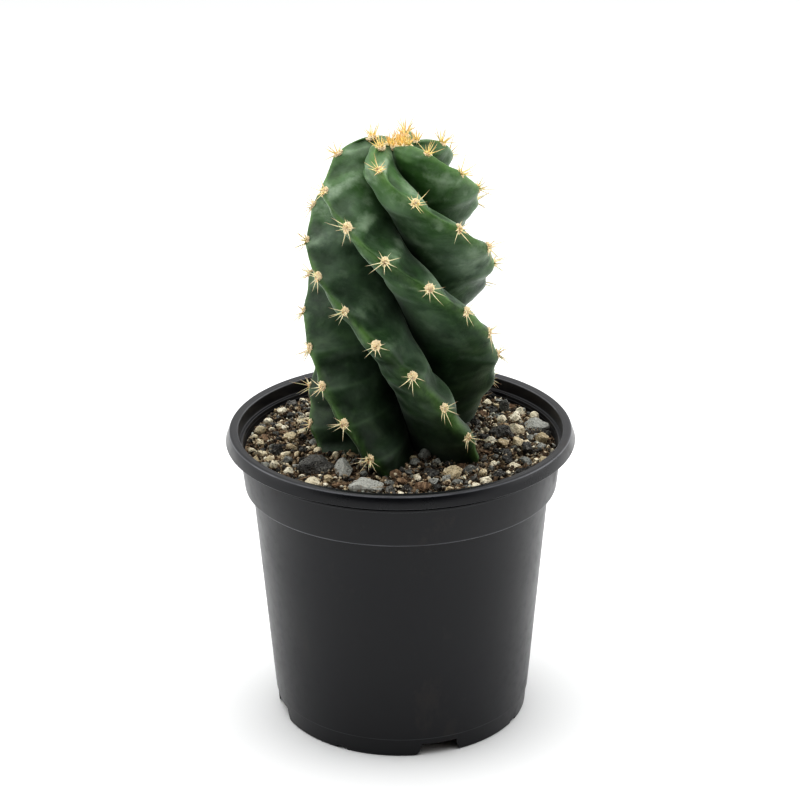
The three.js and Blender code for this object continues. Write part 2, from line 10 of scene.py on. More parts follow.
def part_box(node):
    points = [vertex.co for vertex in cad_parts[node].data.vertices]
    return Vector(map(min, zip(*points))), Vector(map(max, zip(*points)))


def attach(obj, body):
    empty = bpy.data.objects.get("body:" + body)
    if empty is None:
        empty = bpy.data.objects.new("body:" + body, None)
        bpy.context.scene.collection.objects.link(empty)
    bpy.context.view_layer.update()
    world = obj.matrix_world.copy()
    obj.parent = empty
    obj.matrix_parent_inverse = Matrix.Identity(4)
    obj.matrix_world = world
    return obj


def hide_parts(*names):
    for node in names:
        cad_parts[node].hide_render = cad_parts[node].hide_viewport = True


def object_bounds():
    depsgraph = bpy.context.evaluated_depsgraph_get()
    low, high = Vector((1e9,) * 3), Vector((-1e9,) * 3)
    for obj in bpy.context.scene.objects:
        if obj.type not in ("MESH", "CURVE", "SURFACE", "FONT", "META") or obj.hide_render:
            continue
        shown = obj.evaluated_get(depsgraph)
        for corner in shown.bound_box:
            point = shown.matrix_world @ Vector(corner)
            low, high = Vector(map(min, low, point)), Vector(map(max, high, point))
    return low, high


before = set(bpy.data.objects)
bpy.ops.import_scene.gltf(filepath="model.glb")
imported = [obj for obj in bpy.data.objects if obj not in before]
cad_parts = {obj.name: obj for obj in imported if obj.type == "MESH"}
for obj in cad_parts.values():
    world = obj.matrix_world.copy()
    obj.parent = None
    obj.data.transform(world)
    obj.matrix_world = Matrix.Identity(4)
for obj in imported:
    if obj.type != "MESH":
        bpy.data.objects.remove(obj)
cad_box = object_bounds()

MM = 0.001
TURN = 2 * math.pi

# Pot
POT_SEGMENTS = 288
POT_CREASE = 38                    # degrees; sharper edges aren't shaded smooth
POT_HEIGHT = 105 * MM
RIM_RADIUS = 60 * MM
RIM_MOUTH = 55.6 * MM
FLANGE_SKIRT = 4.4 * MM
FLANGE_LEAN = 1.1 * MM
FLANGE_EDGE = 1.1 * MM
FLANGE_WALL = 1.2 * MM
COLLAR_FOOT = 84.6 * MM
COLLAR_BEAD = 97.4 * MM
COLLAR_RADIUS = 53.9 * MM
COLLAR_TOP_RADIUS = 55.3 * MM
BODY_TOP_RADIUS = 51.3 * MM
BODY_FOOT_RADIUS = 44.95 * MM
BASE_BAND = 6.8 * MM
FOOT_RADIUS = 44.1 * MM
FOOT_RING = 1.5 * MM
WALL = 1.2 * MM
LEDGE_HEIGHT = 100.1 * MM
FLOOR_UNDERSIDE = 3.0 * MM
FLOOR_TOP = 4.4 * MM
NOTCH_ANGLE = 286.7
NOTCH_HEIGHT = 4.5 * MM
NOTCH_TOP_WIDTH = 12.7 * MM
NOTCH_FOOT_WIDTH = 19 * MM
NOTCH_DEPTH = 3.6 * MM
NOTCH_REACH = 10 * MM              # of its cutter, through the foot ring
NOTCH_STEPS = 8
NOTCH_FLARE = 0.8
VENT_WIDTH = 4 * MM
VENT_HEIGHT = 1 * MM
VENT_DEPTH = 3 * MM
DRAIN_RADIUS = 4 * MM
DRAIN_CIRCLE = 24 * MM
# Painted highlights along the pot's edges, lighter lines that stand in for the light the edges
# catch: height, half width and strength. The radii leave out the floor and foot ring.
EDGE_HIGHLIGHTS = [(84.85 * MM, 0.4 * MM, 0.24), (97.5 * MM, 0.22 * MM, 0.12),
              (98.7 * MM, 0.3 * MM, 0.24), (6.75 * MM, 0.35 * MM, 0.13),
              (104.5 * MM, 0.36 * MM, 0.3)]
EDGE_RADII = (43.5 * MM, 44.2 * MM)
GLOSSY_FROM = (98.4 * MM, 99.2 * MM)   # the rim is a little glossier than the wall
GLOSSY_SHARE = 0.85

# Potting mix
GAP = 0.35 * MM
SOIL_RADIUS = 53.5 * MM
SOIL_EDGE = 97.6 * MM
SOIL_CROWN = 101 * MM
SOIL_SLOPE_START = 54 * MM
SOIL_SLOPE_RUN = 26 * MM
SOIL_WAVE = 0.35 * MM
SOIL_SUNK = 0.5 * MM               # the bare mix lies this much below its crumbs
SOIL_PIT = 92 * MM                 # its height under the stem, out of sight
SOIL_PIT_EDGE = 0.4 * MM
SOIL_SEGMENTS = 400
SOIL_RINGS = 118
SOIL_INNER = 2 * MM
SOIL_BUMPS = ((420, 0, 0.55), (1300, 0.01, 0.3))   # scale, layer of the noise, height in mm
BURIED_SPAN = 1.6                  # soil stains a stone over this many of its half heights

# Stem
STEM_FOOT = 88 * MM
STEM_TOP = 205.9 * MM
STEM_RADIUS = 31.85 * MM
DOME_START = 140 * MM
DOME_SQUARENESS = 3.27
DOME_FULLNESS = 0.4
WAIST_START = 120 * MM
WAIST_RUN = 20 * MM
WAIST_DEPTH = 1.8 * MM
TWIST_FOOT = 86 * MM
TWIST_SPAN = 120 * MM
TWIST_EVEN = 187
TWIST_RISING = 91.8
RIBS = 5
RIB_START = [150.1, 67.4, -12.6, -80, -137.6]
RIB_SWAY = [-3.1, 9.3, 14.5, 5.4, -6.3]
SWAY_FOOT = 100 * MM
SWAY_SPAN = 105 * MM
LEAN_SIDE = -1.7 * MM
LEAN_BACK = 8.5 * MM
STEM_OFFSET = 0.17 * MM
FURROW = 0.32
FURROW_PLACE = (0.49, 0.86)
FURROW_ROUND = 0.05
LOWER_COLUMNS = 34
UPPER_COLUMNS = 26
LOWER_FOLD = (0.32, 0.18)
LOWER_FULLNESS = (0.26, 0.1)
UPPER_FOLD = (0.23, 0.46)
UPPER_FULLNESS = (0.03, 0.4)
TIP_DIMPLE = 2.8 * MM
TIP_DIMPLE_REACH = 6.5 * MM
TIP_FADE = 8 * MM                  # folds and tubercles fade out within this of the axis
STRAIGHT_ROWS = 140
DOME_ROWS = 150
CREST_ROWS = 900                   # levels along which areoles are measured off

# Skin between the areoles
TUBERCLE = 0.7 * MM
TUBERCLE_REACH = 3.6 * MM
FLANK_WAVE = 0.75 * MM
FLANK_FOLDS = 1.2 * MM
FOLD_SPACING = 6.5 * MM
FOLD_DRIFT = (1.5, 0.8, 9.7)       # in the noise: along and across a flank, and from rib to rib
FOLD_ROUND = 0.7
FOLD_OUT = 0.4                     # shares of a steep flank's fold that go outwards and aside
FOLD_ASIDE = 0.9
FOLD_LEAST_RADIUS = 6 * MM
FLANK_SLANT = 0.55
UPPER_SLANT = -0.6
HOLLOW_DEPTH = (0.2 * MM, 2.0 * MM)
HOLLOW_SHARE = 0.34
HOLLOW_WIDTH = 0.15
HOLLOW_SPAN = 0.24
HOLLOW_FADE = 9 * MM
# Painted light and shade: the skin is lighter on its folds' bulges and darker in their hollows,
# partly its waxy bloom, which is thinner in the hollows
SWELL_RANGE = 3.2 * MM             # folds are coloured by their height over this range
SWELL_UPWARD = (0.35, 1.0)
SWELL_LOWER = 0.3
# Painted highlight along the fold that runs down the flank from each areole
CHIN_WIDTH = 0.05
CHIN_START = 0.04
CHIN_FADE = 0.6
CHIN_LOWER = 0.6
SKIN_DENTS = (75, 1.1 * MM)        # scale and height
SKIN_LUMPS = (190, 0.25 * MM)
SKIN_STRETCH = 1.2
SKIN_FADE = 6 * MM
BLOOM_SCALE = 30

# Areoles
AREOLE_FIRST = [3.7 * MM, 4.7 * MM, 13.4 * MM, 14.8 * MM, 13.7 * MM]
AREOLE_STEP = [17.07 * MM, 17.03 * MM, 15.55 * MM, 14.55 * MM, 14.22 * MM]
AREOLE_YOUNG = [8 * MM, 8 * MM, 5.5 * MM, 5.5 * MM, 5.5 * MM]
AREOLE_BUD = 2.2 * MM
AREOLE_LOWEST = 101 * MM
AREOLE_ROWS = 6                    # levels either way that give the crest's slope
AREOLE_RADIUS = 1.7 * MM
AREOLE_SIZES = (0.88, 1.08)
AREOLE_SUNK = 0.5 * MM
WOOL_SHAPE = (1.0, 1.1, 0.5)
WOOL_YOUNG_REACH = 10 * MM
WOOL_YOUNG_GROWTH = 0.35
WOOL_TUFTS = ((3.2, 0.22), (8, 0.3))   # scale and height
WOOL_TONE = (0.9, 0.2, 0.75, 0.38)     # of the rim, added when young, eye's depth and width

# Spines. A kind is its tilt from the areole's axis in degrees and its share of the length.
SPINE_RADIUS = 0.23 * MM
SPINE_RADII = (0.75, 1.1)
SPINE_LENGTH = 6.6 * MM
SPINE_CROWN_LENGTH = 9.2 * MM
SPINE_CROWN_REACH = 20 * MM
SPINE_OLD_REACH = 60 * MM
SPINE_CROWN_LESS = 0.25            # crown spines are this much shorter and thinner
SPINE_RING_COUNTS = [8, 9, 9, 10]
SPINE_MIDDLE_COUNTS = [1, 1, 2]
SPINE_CROWN_COUNT = 3
SPINE_RING = ((28, 78), (0.5, 1.05))
SPINE_MIDDLE = ((4, 34), (0.5, 1.15))
SPINE_TALL = ((2, 12), (0.85, 1.1))
SPINE_RING_JITTER = 0.25
SPINE_RING_RISE = 0.5              # crown rings stand up by this share of their tilt
SPINE_ANY_TURN = 6.3
SPINE_TALL_FROM = 1.2
SPINE_TALL_UPRIGHT = 2.2
SPINE_FLAT_UP = (0.9, 0.5, 0.55)   # spines flat against the rib above: tilt, rise, share
SPINE_ROOTS = (0.3, 1.0)
SPINE_LIFT = 0.1 * MM
SPINE_HEADROOM = 0.1 * MM
SPINE_BEND = ((-0.6, 1), 0.1)
SPINE_SIDES = 6
SPINE_STEPS = 7
SPINE_TAPER = 0.75
SPINE_FOOT_SWELL = 0.5
SPINE_FOOT_REACH = 0.06

# Grains. Kinds: height as a share of the width, flats, lumps, tones and how often they fall;
# for a named stone, its roughness and flats.
KINDS = {
    "pumice": {"flat": (0.6, 0.95), "chops": 7, "lumps": 0.2, "tone": (0.15, 1.0),
               "often": 0.24, "named": (0.1, 12)},
    "grey": {"flat": (0.5, 0.85), "chops": 10, "lumps": 0.12, "tone": (0.1, 0.95),
             "often": 0.26, "named": (0.08, 12)},
    "lava": {"flat": (0.6, 0.9), "chops": 12, "lumps": 0.34, "tone": (0.0, 0.9),
             "often": 0.32, "named": (0.2, 16)},
    "bark": {"flat": (0.2, 0.45), "chops": 9, "lumps": 0.3, "tone": (0.0, 0.9),
             "often": 0.18, "named": (0.24, 10)},
}
GRAIN_WIDTHS = (0.7, 1)
GRAIN_CHOPS = (0.55, 0.85)
GRAIN_LUMPS = ((1.3, 1), (3.1, 0.5))   # scale and share of the kind's lumps
GRAIN_TILT = 0.3
GRAIN_CREASE = 28
# Half widths in mm, number tried, lift, spacing and the ball's subdivisions
GRAIN_WAVES = [(2.3, 3.2, 34, 0.3, 0.95, 4), (1.5, 2.3, 190, 0.3, 0.95, 3),
               (0.8, 1.4, 700, 0.35, 0.9, 2)]
# Grains that stand out in the photo: kind, x, y, half width in mm, share of it back to front
LANDMARKS = [
    ("pumice", -22, -9.5, 2.4, 0.9), ("pumice", -49, 9, 2.5, 0.6), ("pumice", -42, 25, 2.1, 1),
    ("pumice", -37, -9, 2.1, 1), ("lava", -42, -11, 2.8, 0.8), ("pumice", -42, -22, 1.8, 1),
    ("grey", -38, -20, 2.1, 0.8), ("pumice", -34, 3, 1.6, 1), ("pumice", -40, 8, 1.5, 0.9),
    ("pumice", -35, 37, 1.7, 0.7), ("lava", -44, 14, 2.0, 0.9), ("pumice", -28, -13, 1.5, 1),
    ("pumice", 35, -8, 2.4, 0.8), ("pumice", 30.5, -6.5, 1.8, 1), ("pumice", 40, -6, 2.3, 1),
    ("pumice", 49, -1, 2.6, 0.9), ("grey", 44.5, -1, 1.6, 0.9), ("grey", 48, -7, 2, 0.8),
    ("lava", 43, -12, 3, 0.7), ("grey", 42, -20, 2.6, 0.8), ("lava", 36, -19, 2.6, 0.8),
    ("pumice", 31, -22, 1.5, 1), ("grey", 23, -29, 2.6, 0.7), ("grey", 3, -31, 1.7, 0.9),
    ("grey", 11, -37, 2, 0.9), ("grey", 15, -35, 2, 0.9), ("pumice", 16, -42, 1.7, 0.8),
    ("pumice", 28, -37, 2.2, 0.8), ("pumice", 42, 22, 1.9, 0.9), ("pumice", 31, 33, 2.1, 0.9),
    ("bark", 29, 18.5, 2.6, 0.5), ("pumice", 35.5, 14, 2, 0.9), ("lava", 33, 24, 2.4, 0.8),
    ("bark", 40, 31, 2.2, 0.6), ("pumice", -4, -46, 1.4, 0.8), ("pumice", 0, -46.5, 1.3, 0.8),
]
LANDMARK_LIFT = 0.55
LANDMARK_LEVEL = 4
BED_SQUARE = 4 * MM
BED_REACH = 3                      # squares looked through to either side
BED_WALL = 0.9                     # shares of its half width that a grain keeps clear
BED_STEM = 0.55
BED_TRIES = 60
BED_INNER = 20 * MM
CRUMBS = 9500
CRUMB_INNER = 22 * MM
CRUMB_GAP = 0.2 * MM
CRUMB_TILT = 0.8
FIBRES = 170
FIBRE_BEND = ((-0.5, 0.1), 0.3)
FIBRE_GAP = 2 * MM
FIBRE_END_GAP = 0.5 * MM
FIBRE_WALL_GAP = 1 * MM

# Named stones: kind and tone
STONES = {"stone_oval_grey": ("grey", 0.75), "stone_flat_pale": ("grey", 1.0),
          "stone_flat_grey": ("grey", 0.9), "stone_tall_slate": ("grey", 0.15),
          "stone_cream_left": ("pumice", 0.7), "stone_cream_right": ("pumice", 0.55),
          "stone_porous_front": ("pumice", 0.35), "stone_lava_left": ("lava", 0.62),
          "stone_lava_right": ("lava", 0.6), "stone_dark_front": ("lava", 0.3),
          "bark_chip_front": ("bark", 0.5)}
STONE_DIVISIONS = 3
STONE_GROWTH = 1.25                # before the flats are chopped off
STONE_CHOPS = (0.68, 0.9)
STONE_LUMPS = ((380, 0.8), (900, 0.5), (2000, 0.35))   # scale and height
STONE_CREASE = 24

# Light: directions and strengths of soft lobes
LIGHT_LOBES = [((0, 0, 1), 2.3), ((-0.7, 0, 0.7), 0.72), ((0.7, 0, 0.7), 0.3),
               ((0, 0.7, 0.7), 0.92), ((-1, 0, 0.12), 1.5), ((1, 0, 0.12), 1.85),
               ((-0.7, 0.7, 0.3), 0.5), ((0.7, 0.7, 0.3), 0.85)]
LOBE_FOCUS = 6
FLOOR_HALF = 4
# Painted fall-off of light: the floor is painted darker far behind the pot
FLOOR_FAR = (0.3, 1.3)             # the floor darkens from here to there behind the pot

# Camera, fitted to the pot's circles
CAMERA_PLACE = (-0.08 * MM, -750 * MM, 424.9 * MM)
CAMERA_TILT = 67.49
CAMERA_ROLL = -0.36
FOCAL_PIXELS = 2374
IMAGE_PIXELS = 800
SENSOR = 36


# Meshes
def set_values(mesh, key, values):
    """Gives every vertex a number that a material can read."""
    layer = mesh.attributes.new(key, "FLOAT", "POINT")
    layer.data.foreach_set("value", np.asarray(values, np.float32))


def shade(mesh, crease=0):
    """Shades the mesh smooth, apart from edges sharper than the crease in degrees."""
    mesh.shade_smooth()
    if crease:
        mesh.set_sharp_from_angle(angle=math.radians(crease))


def mesh_object(name, vertices, faces, values=None, smooth=True, crease=0):
    mesh = bpy.data.meshes.new(name)
    mesh.from_pydata(np.asarray(vertices).tolist(), [], [tuple(face) for face in faces])
    mesh.update()
    for key, numbers in (values or {}).items():
        set_values(mesh, key, numbers)
    if smooth:
        shade(mesh, crease)
    made = bpy.data.objects.new(name, mesh)
    bpy.context.scene.collection.objects.link(made)
    return made


def joined(name, parts, keys, smooth=True, crease=0):
    """One object from many (vertices, faces, values) parts; values has an array per key."""
    offset = 0
    all_vertices, all_faces = [], []
    for vertices, faces, _ in parts:
        all_vertices.append(vertices)
        all_faces += [tuple(int(i) + offset for i in face) for face in faces]
        offset += len(vertices)
    values = {key: np.concatenate([part[2][i] for part in parts]) for i, key in enumerate(keys)}
    return mesh_object(name, np.concatenate(all_vertices), all_faces, values, smooth, crease)


def dress(piece, material, slot, *nodes):
    """Gives a finished piece its material and body, and hides the nodes that it replaces. The slot
    is not used.
    """
    piece.data.materials.clear()
    piece.data.materials.append(material)
    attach(piece, "root")
    if nodes:
        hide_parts(*nodes)


def apply_modifiers(piece):
    graph = bpy.context.evaluated_depsgraph_get()
    mesh = bpy.data.meshes.new_from_object(piece.evaluated_get(graph))
    piece.modifiers.clear()
    piece.data = mesh


def polar(radius, turn):
    return radius * math.cos(turn), radius * math.sin(turn)


def circle(radius, z, segments):
    """The points of a level ring; z is one height or one for each point."""
    turns = TURN * np.arange(segments) / segments
    heights = np.broadcast_to(z, segments)
    return np.stack([radius * np.cos(turns), radius * np.sin(turns), heights], 1)


def ring_faces(rows, columns):
    """Quads that join a stack of closed rings, lowest first, turning anticlockwise."""
    row = np.arange(rows - 1)[:, None] * columns
    here = np.arange(columns)[None, :]
    after = (here + 1) % columns
    quads = np.stack([row + here, row + after, row + after + columns, row + here + columns], -1)
    return quads.reshape(-1, 4).tolist()


def capped(rows, ends, clockwise=False):
    """Vertices and faces of a stack of rings that is closed by a point below and one above."""
    columns = len(rows[0])
    low = len(rows) * columns
    last = low - columns
    faces = ring_faces(len(rows), columns)
    if clockwise:
        faces = [face[::-1] for face in faces]
    for i in range(columns):
        after = (i + 1) % columns
        first, second = (i, after) if clockwise else (after, i)
        faces.append((low, first, second))
        faces.append((low + 1, last + second, last + first))
    return np.concatenate([*rows, ends]), faces


def ball_mesh(subdivisions):
    made = bmesh.new()
    bmesh.ops.create_icosphere(made, subdivisions=subdivisions, radius=1)
    vertices = np.array([v.co for v in made.verts])
    faces = np.array([[v.index for v in face.verts] for face in made.faces])
    made.free()
    return vertices, faces


# Materials. Noise scales are per metre; each span turns a noise into the share named beside it.
class Graph:
    """The node tree of a material or world, with short calls for its nodes."""

    def __init__(self, owner, coordinates):
        owner.use_nodes = True
        self.tree = owner.node_tree
        self.place = self.node("ShaderNodeTexCoord", {}, coordinates)

    def feed(self, socket, value):
        if isinstance(value, bpy.types.NodeSocket):
            self.tree.links.new(value, socket)
        else:
            socket.default_value = value

    def node(self, kind, sockets, output, **settings):
        made = self.tree.nodes.new(kind)
        for key, value in settings.items():
            setattr(made, key, value)
        for key, value in sockets.items():
            self.feed(made.inputs[key], value)
        return made.outputs[output]

    def stretched(self, factors):
        return self.node("ShaderNodeMapping", {"Scale": factors, "Vector": self.place}, "Vector")

    def noise(self, scale, detail=4, rough=0.55, stretch=None, distortion=0):
        place = self.stretched(stretch) if stretch else self.place
        return self.node("ShaderNodeTexNoise", {
            "Scale": scale, "Detail": detail, "Roughness": rough, "Distortion": distortion,
            "Vector": place}, "Fac")

    def cells(self, scale):
        return self.node("ShaderNodeTexVoronoi", {"Scale": scale, "Vector": self.place}, "Distance")

    def attribute(self, name):
        return self.node("ShaderNodeAttribute", {}, "Fac", attribute_name=name)

    def ramp(self, factor, stops):
        made = self.tree.nodes.new("ShaderNodeValToRGB")
        elements = made.color_ramp.elements
        while len(elements) < len(stops):
            elements.new(1)
        for element, (position, colour) in zip(elements, stops):
            element.position = position
            element.color = (*colour, 1)
        self.feed(made.inputs["Fac"], factor)
        return made.outputs["Color"]

    def span(self, value, low, high, start=0, end=1):
        return self.node("ShaderNodeMapRange", {
            "From Min": low, "From Max": high, "To Min": start, "To Max": end, "Value": value},
            "Result", interpolation_type="SMOOTHSTEP")

    def math(self, operation, first, second):
        return self.node("ShaderNodeMath", {0: first, 1: second}, "Value", operation=operation)

    def plus(self, first, second):
        return self.math("ADD", first, second)

    def times(self, first, second):
        return self.math("MULTIPLY", first, second)

    def mix(self, factor, first, second, blend="MIX"):
        first, second = ((*colour, 1) if isinstance(colour, tuple) else colour
                         for colour in (first, second))
        return self.node("ShaderNodeMix", {"Factor": factor, "A": first, "B": second}, "Result",
                         data_type="RGBA", blend_type=blend)

    def tinted(self, colour, tint):
        return self.mix(1.0, colour, tint, blend="MULTIPLY")

    def bump(self, height, distance, strength, over=None):
        sockets = {"Distance": distance, "Strength": strength, "Height": height}
        if over:
            sockets["Normal"] = over
        return self.node("ShaderNodeBump", sockets, "Normal")


class Finish(Graph):
    """A material for one kind of surface."""

    def __init__(self, name, roughness=0.5, specular=0.5):
        self.material = bpy.data.materials.new(name)
        super().__init__(self.material, "Object")
        self.shader = self.tree.nodes["Principled BSDF"]
        self.out(Roughness=roughness, Specular_IOR_Level=specular)

    def out(self, **sockets):
        for key, value in sockets.items():
            self.feed(self.shader.inputs[key.replace("_", " ")], value)
        return self.material


def pot_material():
    g = Finish("pot_plastic", specular=0.47)
    blotch = g.noise(28, 5)
    colour = g.ramp(blotch, [(0.3, (0.003, 0.0032, 0.005)), (0.7, (0.0052, 0.0054, 0.008))])
    dusty = g.span(g.noise(160, 6, 0.7), 0.62, 0.85, 0, 0.3)
    colour = g.mix(dusty, colour, (0.04, 0.039, 0.038))
    rub = g.times(g.span(g.noise(60, 7, 0.7, stretch=(1, 1, 0.6)), 0.56, 0.72), 0.3)
    colour = g.mix(rub, colour, (0.05, 0.04, 0.034))
    scuff = g.span(g.noise(320, 5, 0.6), 0.4, 0.75, 0.33, 0.39)
    roughness = g.plus(scuff, g.span(blotch, 0.3, 0.7, -0.02, 0.05))
    roughness = g.plus(roughness, g.times(rub, 0.5))
    across = g.node("ShaderNodeVectorMath", {0: g.stretched((1, 1, 0))}, "Value",
                    operation="LENGTH")
    height = g.node("ShaderNodeSeparateXYZ", {"Vector": g.place}, "Z")
    roughness = g.times(roughness, g.span(height, *GLOSSY_FROM, 1, GLOSSY_SHARE))
    # Painted highlight lines along the edges, broken up by a noise
    for level, half, light in EDGE_HIGHLIGHTS:
        off = g.math("ABSOLUTE", g.math("SUBTRACT", height, level), 0)
        line = g.times(g.span(off, 0, half, light, 0), g.span(across, *EDGE_RADII))
        line = g.times(line, g.span(g.noise(90, 4), 0.3, 0.6, 0.55, 1))
        colour = g.mix(line, colour, (0.42, 0.43, 0.46))
    grain = g.bump(g.noise(1500, 2), 0.00001, 0.3)
    return g.out(Base_Color=colour, Roughness=roughness, Normal=grain, Sheen_Weight=0.08,
                 Sheen_Roughness=0.4)


def stem_material():
    g = Finish("cactus_skin", specular=0.36)
    mottle = g.noise(95, 7, 0.68, distortion=0.4)
    fine = g.noise(420, 5, 0.65)
    share, height, swell = g.attribute("share"), g.attribute("height"), g.attribute("swell")
    colour = g.ramp(mottle, [(0.3, (0.0115, 0.031, 0.0115)), (0.5, (0.029, 0.07, 0.025)),
                             (0.7, (0.075, 0.142, 0.056))])
    # Darker towards the bottom of the stem
    colour = g.mix(g.span(height, 0.6, 0.05, 0, 0.8), colour, g.tinted(colour, (0.5, 0.46, 0.5)))
    young = g.times(g.span(height, 0.55, 1.0), 0.65)
    colour = g.mix(young, colour, (0.1, 0.215, 0.062))
    bloom = g.times(g.span(g.noise(34, 4), 0.42, 0.68), g.span(share, 0.1, 0.45))
    bloom = g.times(bloom, g.attribute("bloom"))
    colour = g.mix(g.times(bloom, 0.8), colour, (0.24, 0.32, 0.24))
    # Lighter where the folds bulge out: waxy bloom and painted highlight
    bulge = g.plus(swell, g.span(g.noise(110, 5, 0.6), 0.3, 0.7, -0.28, 0.28))
    bulge = g.times(g.span(bulge, 0.5, 0.95, 0, 0.7), g.span(height, 0.15, 0.9, 0.12, 1))
    colour = g.mix(bulge, colour, (0.38, 0.47, 0.35))
    # Darker in the folds' hollows: less bloom and painted shade
    hollow = g.plus(swell, g.span(g.noise(80, 5, 0.6), 0.3, 0.7, -0.28, 0.28))
    colour = g.mix(g.span(hollow, 0.5, 0.05, 0, 0.8), colour, g.tinted(colour, (0.38, 0.44, 0.38)))
    cloud = g.span(g.noise(150, 6, 0.7, distortion=0.8), 0.42, 0.62, 0, 0.22)
    cloud = g.times(cloud, g.span(height, 0.2, 0.75, 0.15, 1))
    colour = g.mix(cloud, colour, (0.17, 0.24, 0.165))
    shady = g.span(g.noise(70, 5, 0.6, distortion=0.5), 0.5, 0.66, 0, 0.55)
    colour = g.mix(shady, colour, g.tinted(colour, (0.5, 0.56, 0.5)))
    # Lighter yellow-green band along the crest: partly the skin's own colour, partly a painted
    # highlight along the crest
    crest = g.times(g.span(share, 0.0, 0.22, 1, 0), g.span(mottle, 0.35, 0.65, 0.1, 0.6))
    colour = g.mix(crest, colour, (0.14, 0.26, 0.065))
    # Painted highlight along the fold below each areole
    colour = g.mix(g.times(g.attribute("chin"), 0.3), colour, (0.16, 0.25, 0.14))
    # Painted shade in the furrows, stronger low on the stem
    furrow = g.times(g.span(share, 0.6, 1.0), g.span(height, 0.1, 0.7, 0.5, 0.1))
    colour = g.mix(furrow, colour, (0.007, 0.026, 0.009))
    speck = g.times(g.span(g.cells(900), 0.0, 0.16, 0.35, 0), g.span(fine, 0.45, 0.7))
    colour = g.mix(speck, colour, (0.2, 0.27, 0.17))
    scar = g.times(g.span(g.noise(300, 8, 0.75), 0.66, 0.74), g.span(height, 0.42, 0.1))
    colour = g.mix(scar, colour, (0.36, 0.37, 0.28))
    roughness = g.plus(g.span(fine, 0.3, 0.7, 0.36, 0.5), g.times(bloom, 0.16))
    bump = g.bump(mottle, 0.0006, 0.35, g.bump(g.noise(1300, 4, 0.6), 0.00006, 0.5))
    return g.out(Base_Color=colour, Roughness=roughness, Normal=bump, Sheen_Weight=0.34,
                 Sheen_Roughness=0.32, Sheen_Tint=(0.85, 1.0, 0.85, 1), Subsurface_Weight=0.1,
                 Subsurface_Radius=(0.6, 1.0, 0.3), Subsurface_Scale=0.002)


def wool_material():
    g = Finish("areole_wool", roughness=0.95, specular=0.2)
    grain = g.noise(1800, 4, 0.7)
    colour = g.ramp(g.attribute("tone"), [(0.0, (0.2, 0.1, 0.06)), (0.45, (0.56, 0.37, 0.19)),
                                          (1.0, (0.94, 0.77, 0.5))])
    colour = g.mix(g.span(grain, 0.35, 0.65, 0, 0.6), colour, (0.97, 0.88, 0.7))
    return g.out(Base_Color=colour, Normal=g.bump(grain, 0.0003, 0.9))


def spine_material():
    g = Finish("spine_horn", roughness=0.42, specular=0.5)
    along = g.attribute("along")
    young = g.ramp(along, [(0.0, (1.0, 0.8, 0.34)), (0.6, (0.98, 0.68, 0.22)),
                           (0.85, (0.7, 0.44, 0.18)), (1.0, (0.26, 0.16, 0.1))])
    old = g.ramp(along, [(0.0, (0.92, 0.8, 0.54)), (0.55, (0.84, 0.74, 0.48)),
                         (1.0, (0.36, 0.25, 0.16))])
    colour = g.mix(g.attribute("age"), young, old)
    colour = g.mix(g.span(g.noise(2500, 3), 0.4, 0.7, 0, 0.4), colour, (0.95, 0.88, 0.7))
    return g.out(Base_Color=colour, Subsurface_Weight=0.1, Subsurface_Scale=0.0006)


def crumb_material():
    g = Finish("peat_crumbs", roughness=0.95, specular=0.2)
    colour = g.ramp(g.attribute("tone"), [
        (0.0, (0.035, 0.027, 0.021)), (0.3, (0.13, 0.092, 0.062)), (0.55, (0.29, 0.215, 0.145)),
        (0.8, (0.52, 0.42, 0.29)), (1.0, (0.95, 0.87, 0.68))])
    grain = g.noise(1400, 5, 0.7)
    colour = g.mix(g.span(grain, 0.45, 0.75, 0, 0.5), colour, (0.26, 0.19, 0.13))
    ash = g.span(g.noise(420, 3), 0.5, 0.6)
    colour = g.mix(ash, colour, g.tinted(colour, (0.72, 0.85, 1.0)))
    return g.out(Base_Color=colour, Normal=g.bump(grain, 0.0005, 0.8))


def stone_material(name, stops, speckle, pits, pit_depth):
    """Stone or grain: colour stops, the colour of its specks, and its pits' scale and depth."""
    g = Finish(name, specular=0.35)
    grain = g.noise(700, 6, 0.7)
    mottle = g.noise(1250, 5, 0.75)
    tone = g.plus(g.attribute("tone"), g.span(g.noise(170, 4), 0.3, 0.7, -0.14, 0.14))
    colour = g.ramp(tone, stops)
    colour = g.mix(g.span(mottle, 0.52, 0.7, 0, 0.75), colour, speckle)
    shadow = g.span(mottle, 0.46, 0.33, 0, 0.85)
    colour = g.mix(shadow, colour, g.tinted(colour, (0.42, 0.38, 0.34)))
    pit = g.span(g.cells(pits), 0.08, 0.36)
    # Painted shade in the pits, darkened where the bump sinks them
    colour = g.mix(g.times(g.math("SUBTRACT", 1, pit), 0.55), colour, (0.03, 0.024, 0.018))
    dirt = g.plus(g.attribute("buried"), g.span(g.noise(330, 6, 0.75), 0.35, 0.75, -0.45, 0.5))
    colour = g.mix(g.span(dirt, 0.2, 0.65, 0, 0.7), colour, (0.1, 0.07, 0.045))
    height = g.plus(g.times(pit, 0.6), g.plus(grain, g.times(mottle, 0.6)))
    return g.out(Base_Color=colour, Roughness=g.span(grain, 0.3, 0.7, 0.8, 0.96),
                 Normal=g.bump(height, pit_depth, 0.9))


def bark_material():
    g = Finish("bark", roughness=0.9, specular=0.25)
    fibre = g.noise(900, 6, 0.7, stretch=(1, 0.15, 1))
    tone = g.plus(g.attribute("tone"), g.span(fibre, 0.3, 0.7, -0.25, 0.25))
    colour = g.ramp(tone, [(0.1, (0.045, 0.031, 0.022)), (0.45, (0.14, 0.094, 0.062)),
                           (0.75, (0.29, 0.205, 0.135)), (1.0, (0.54, 0.42, 0.28))])
    return g.out(Base_Color=colour, Normal=g.bump(fibre, 0.0006, 0.9))


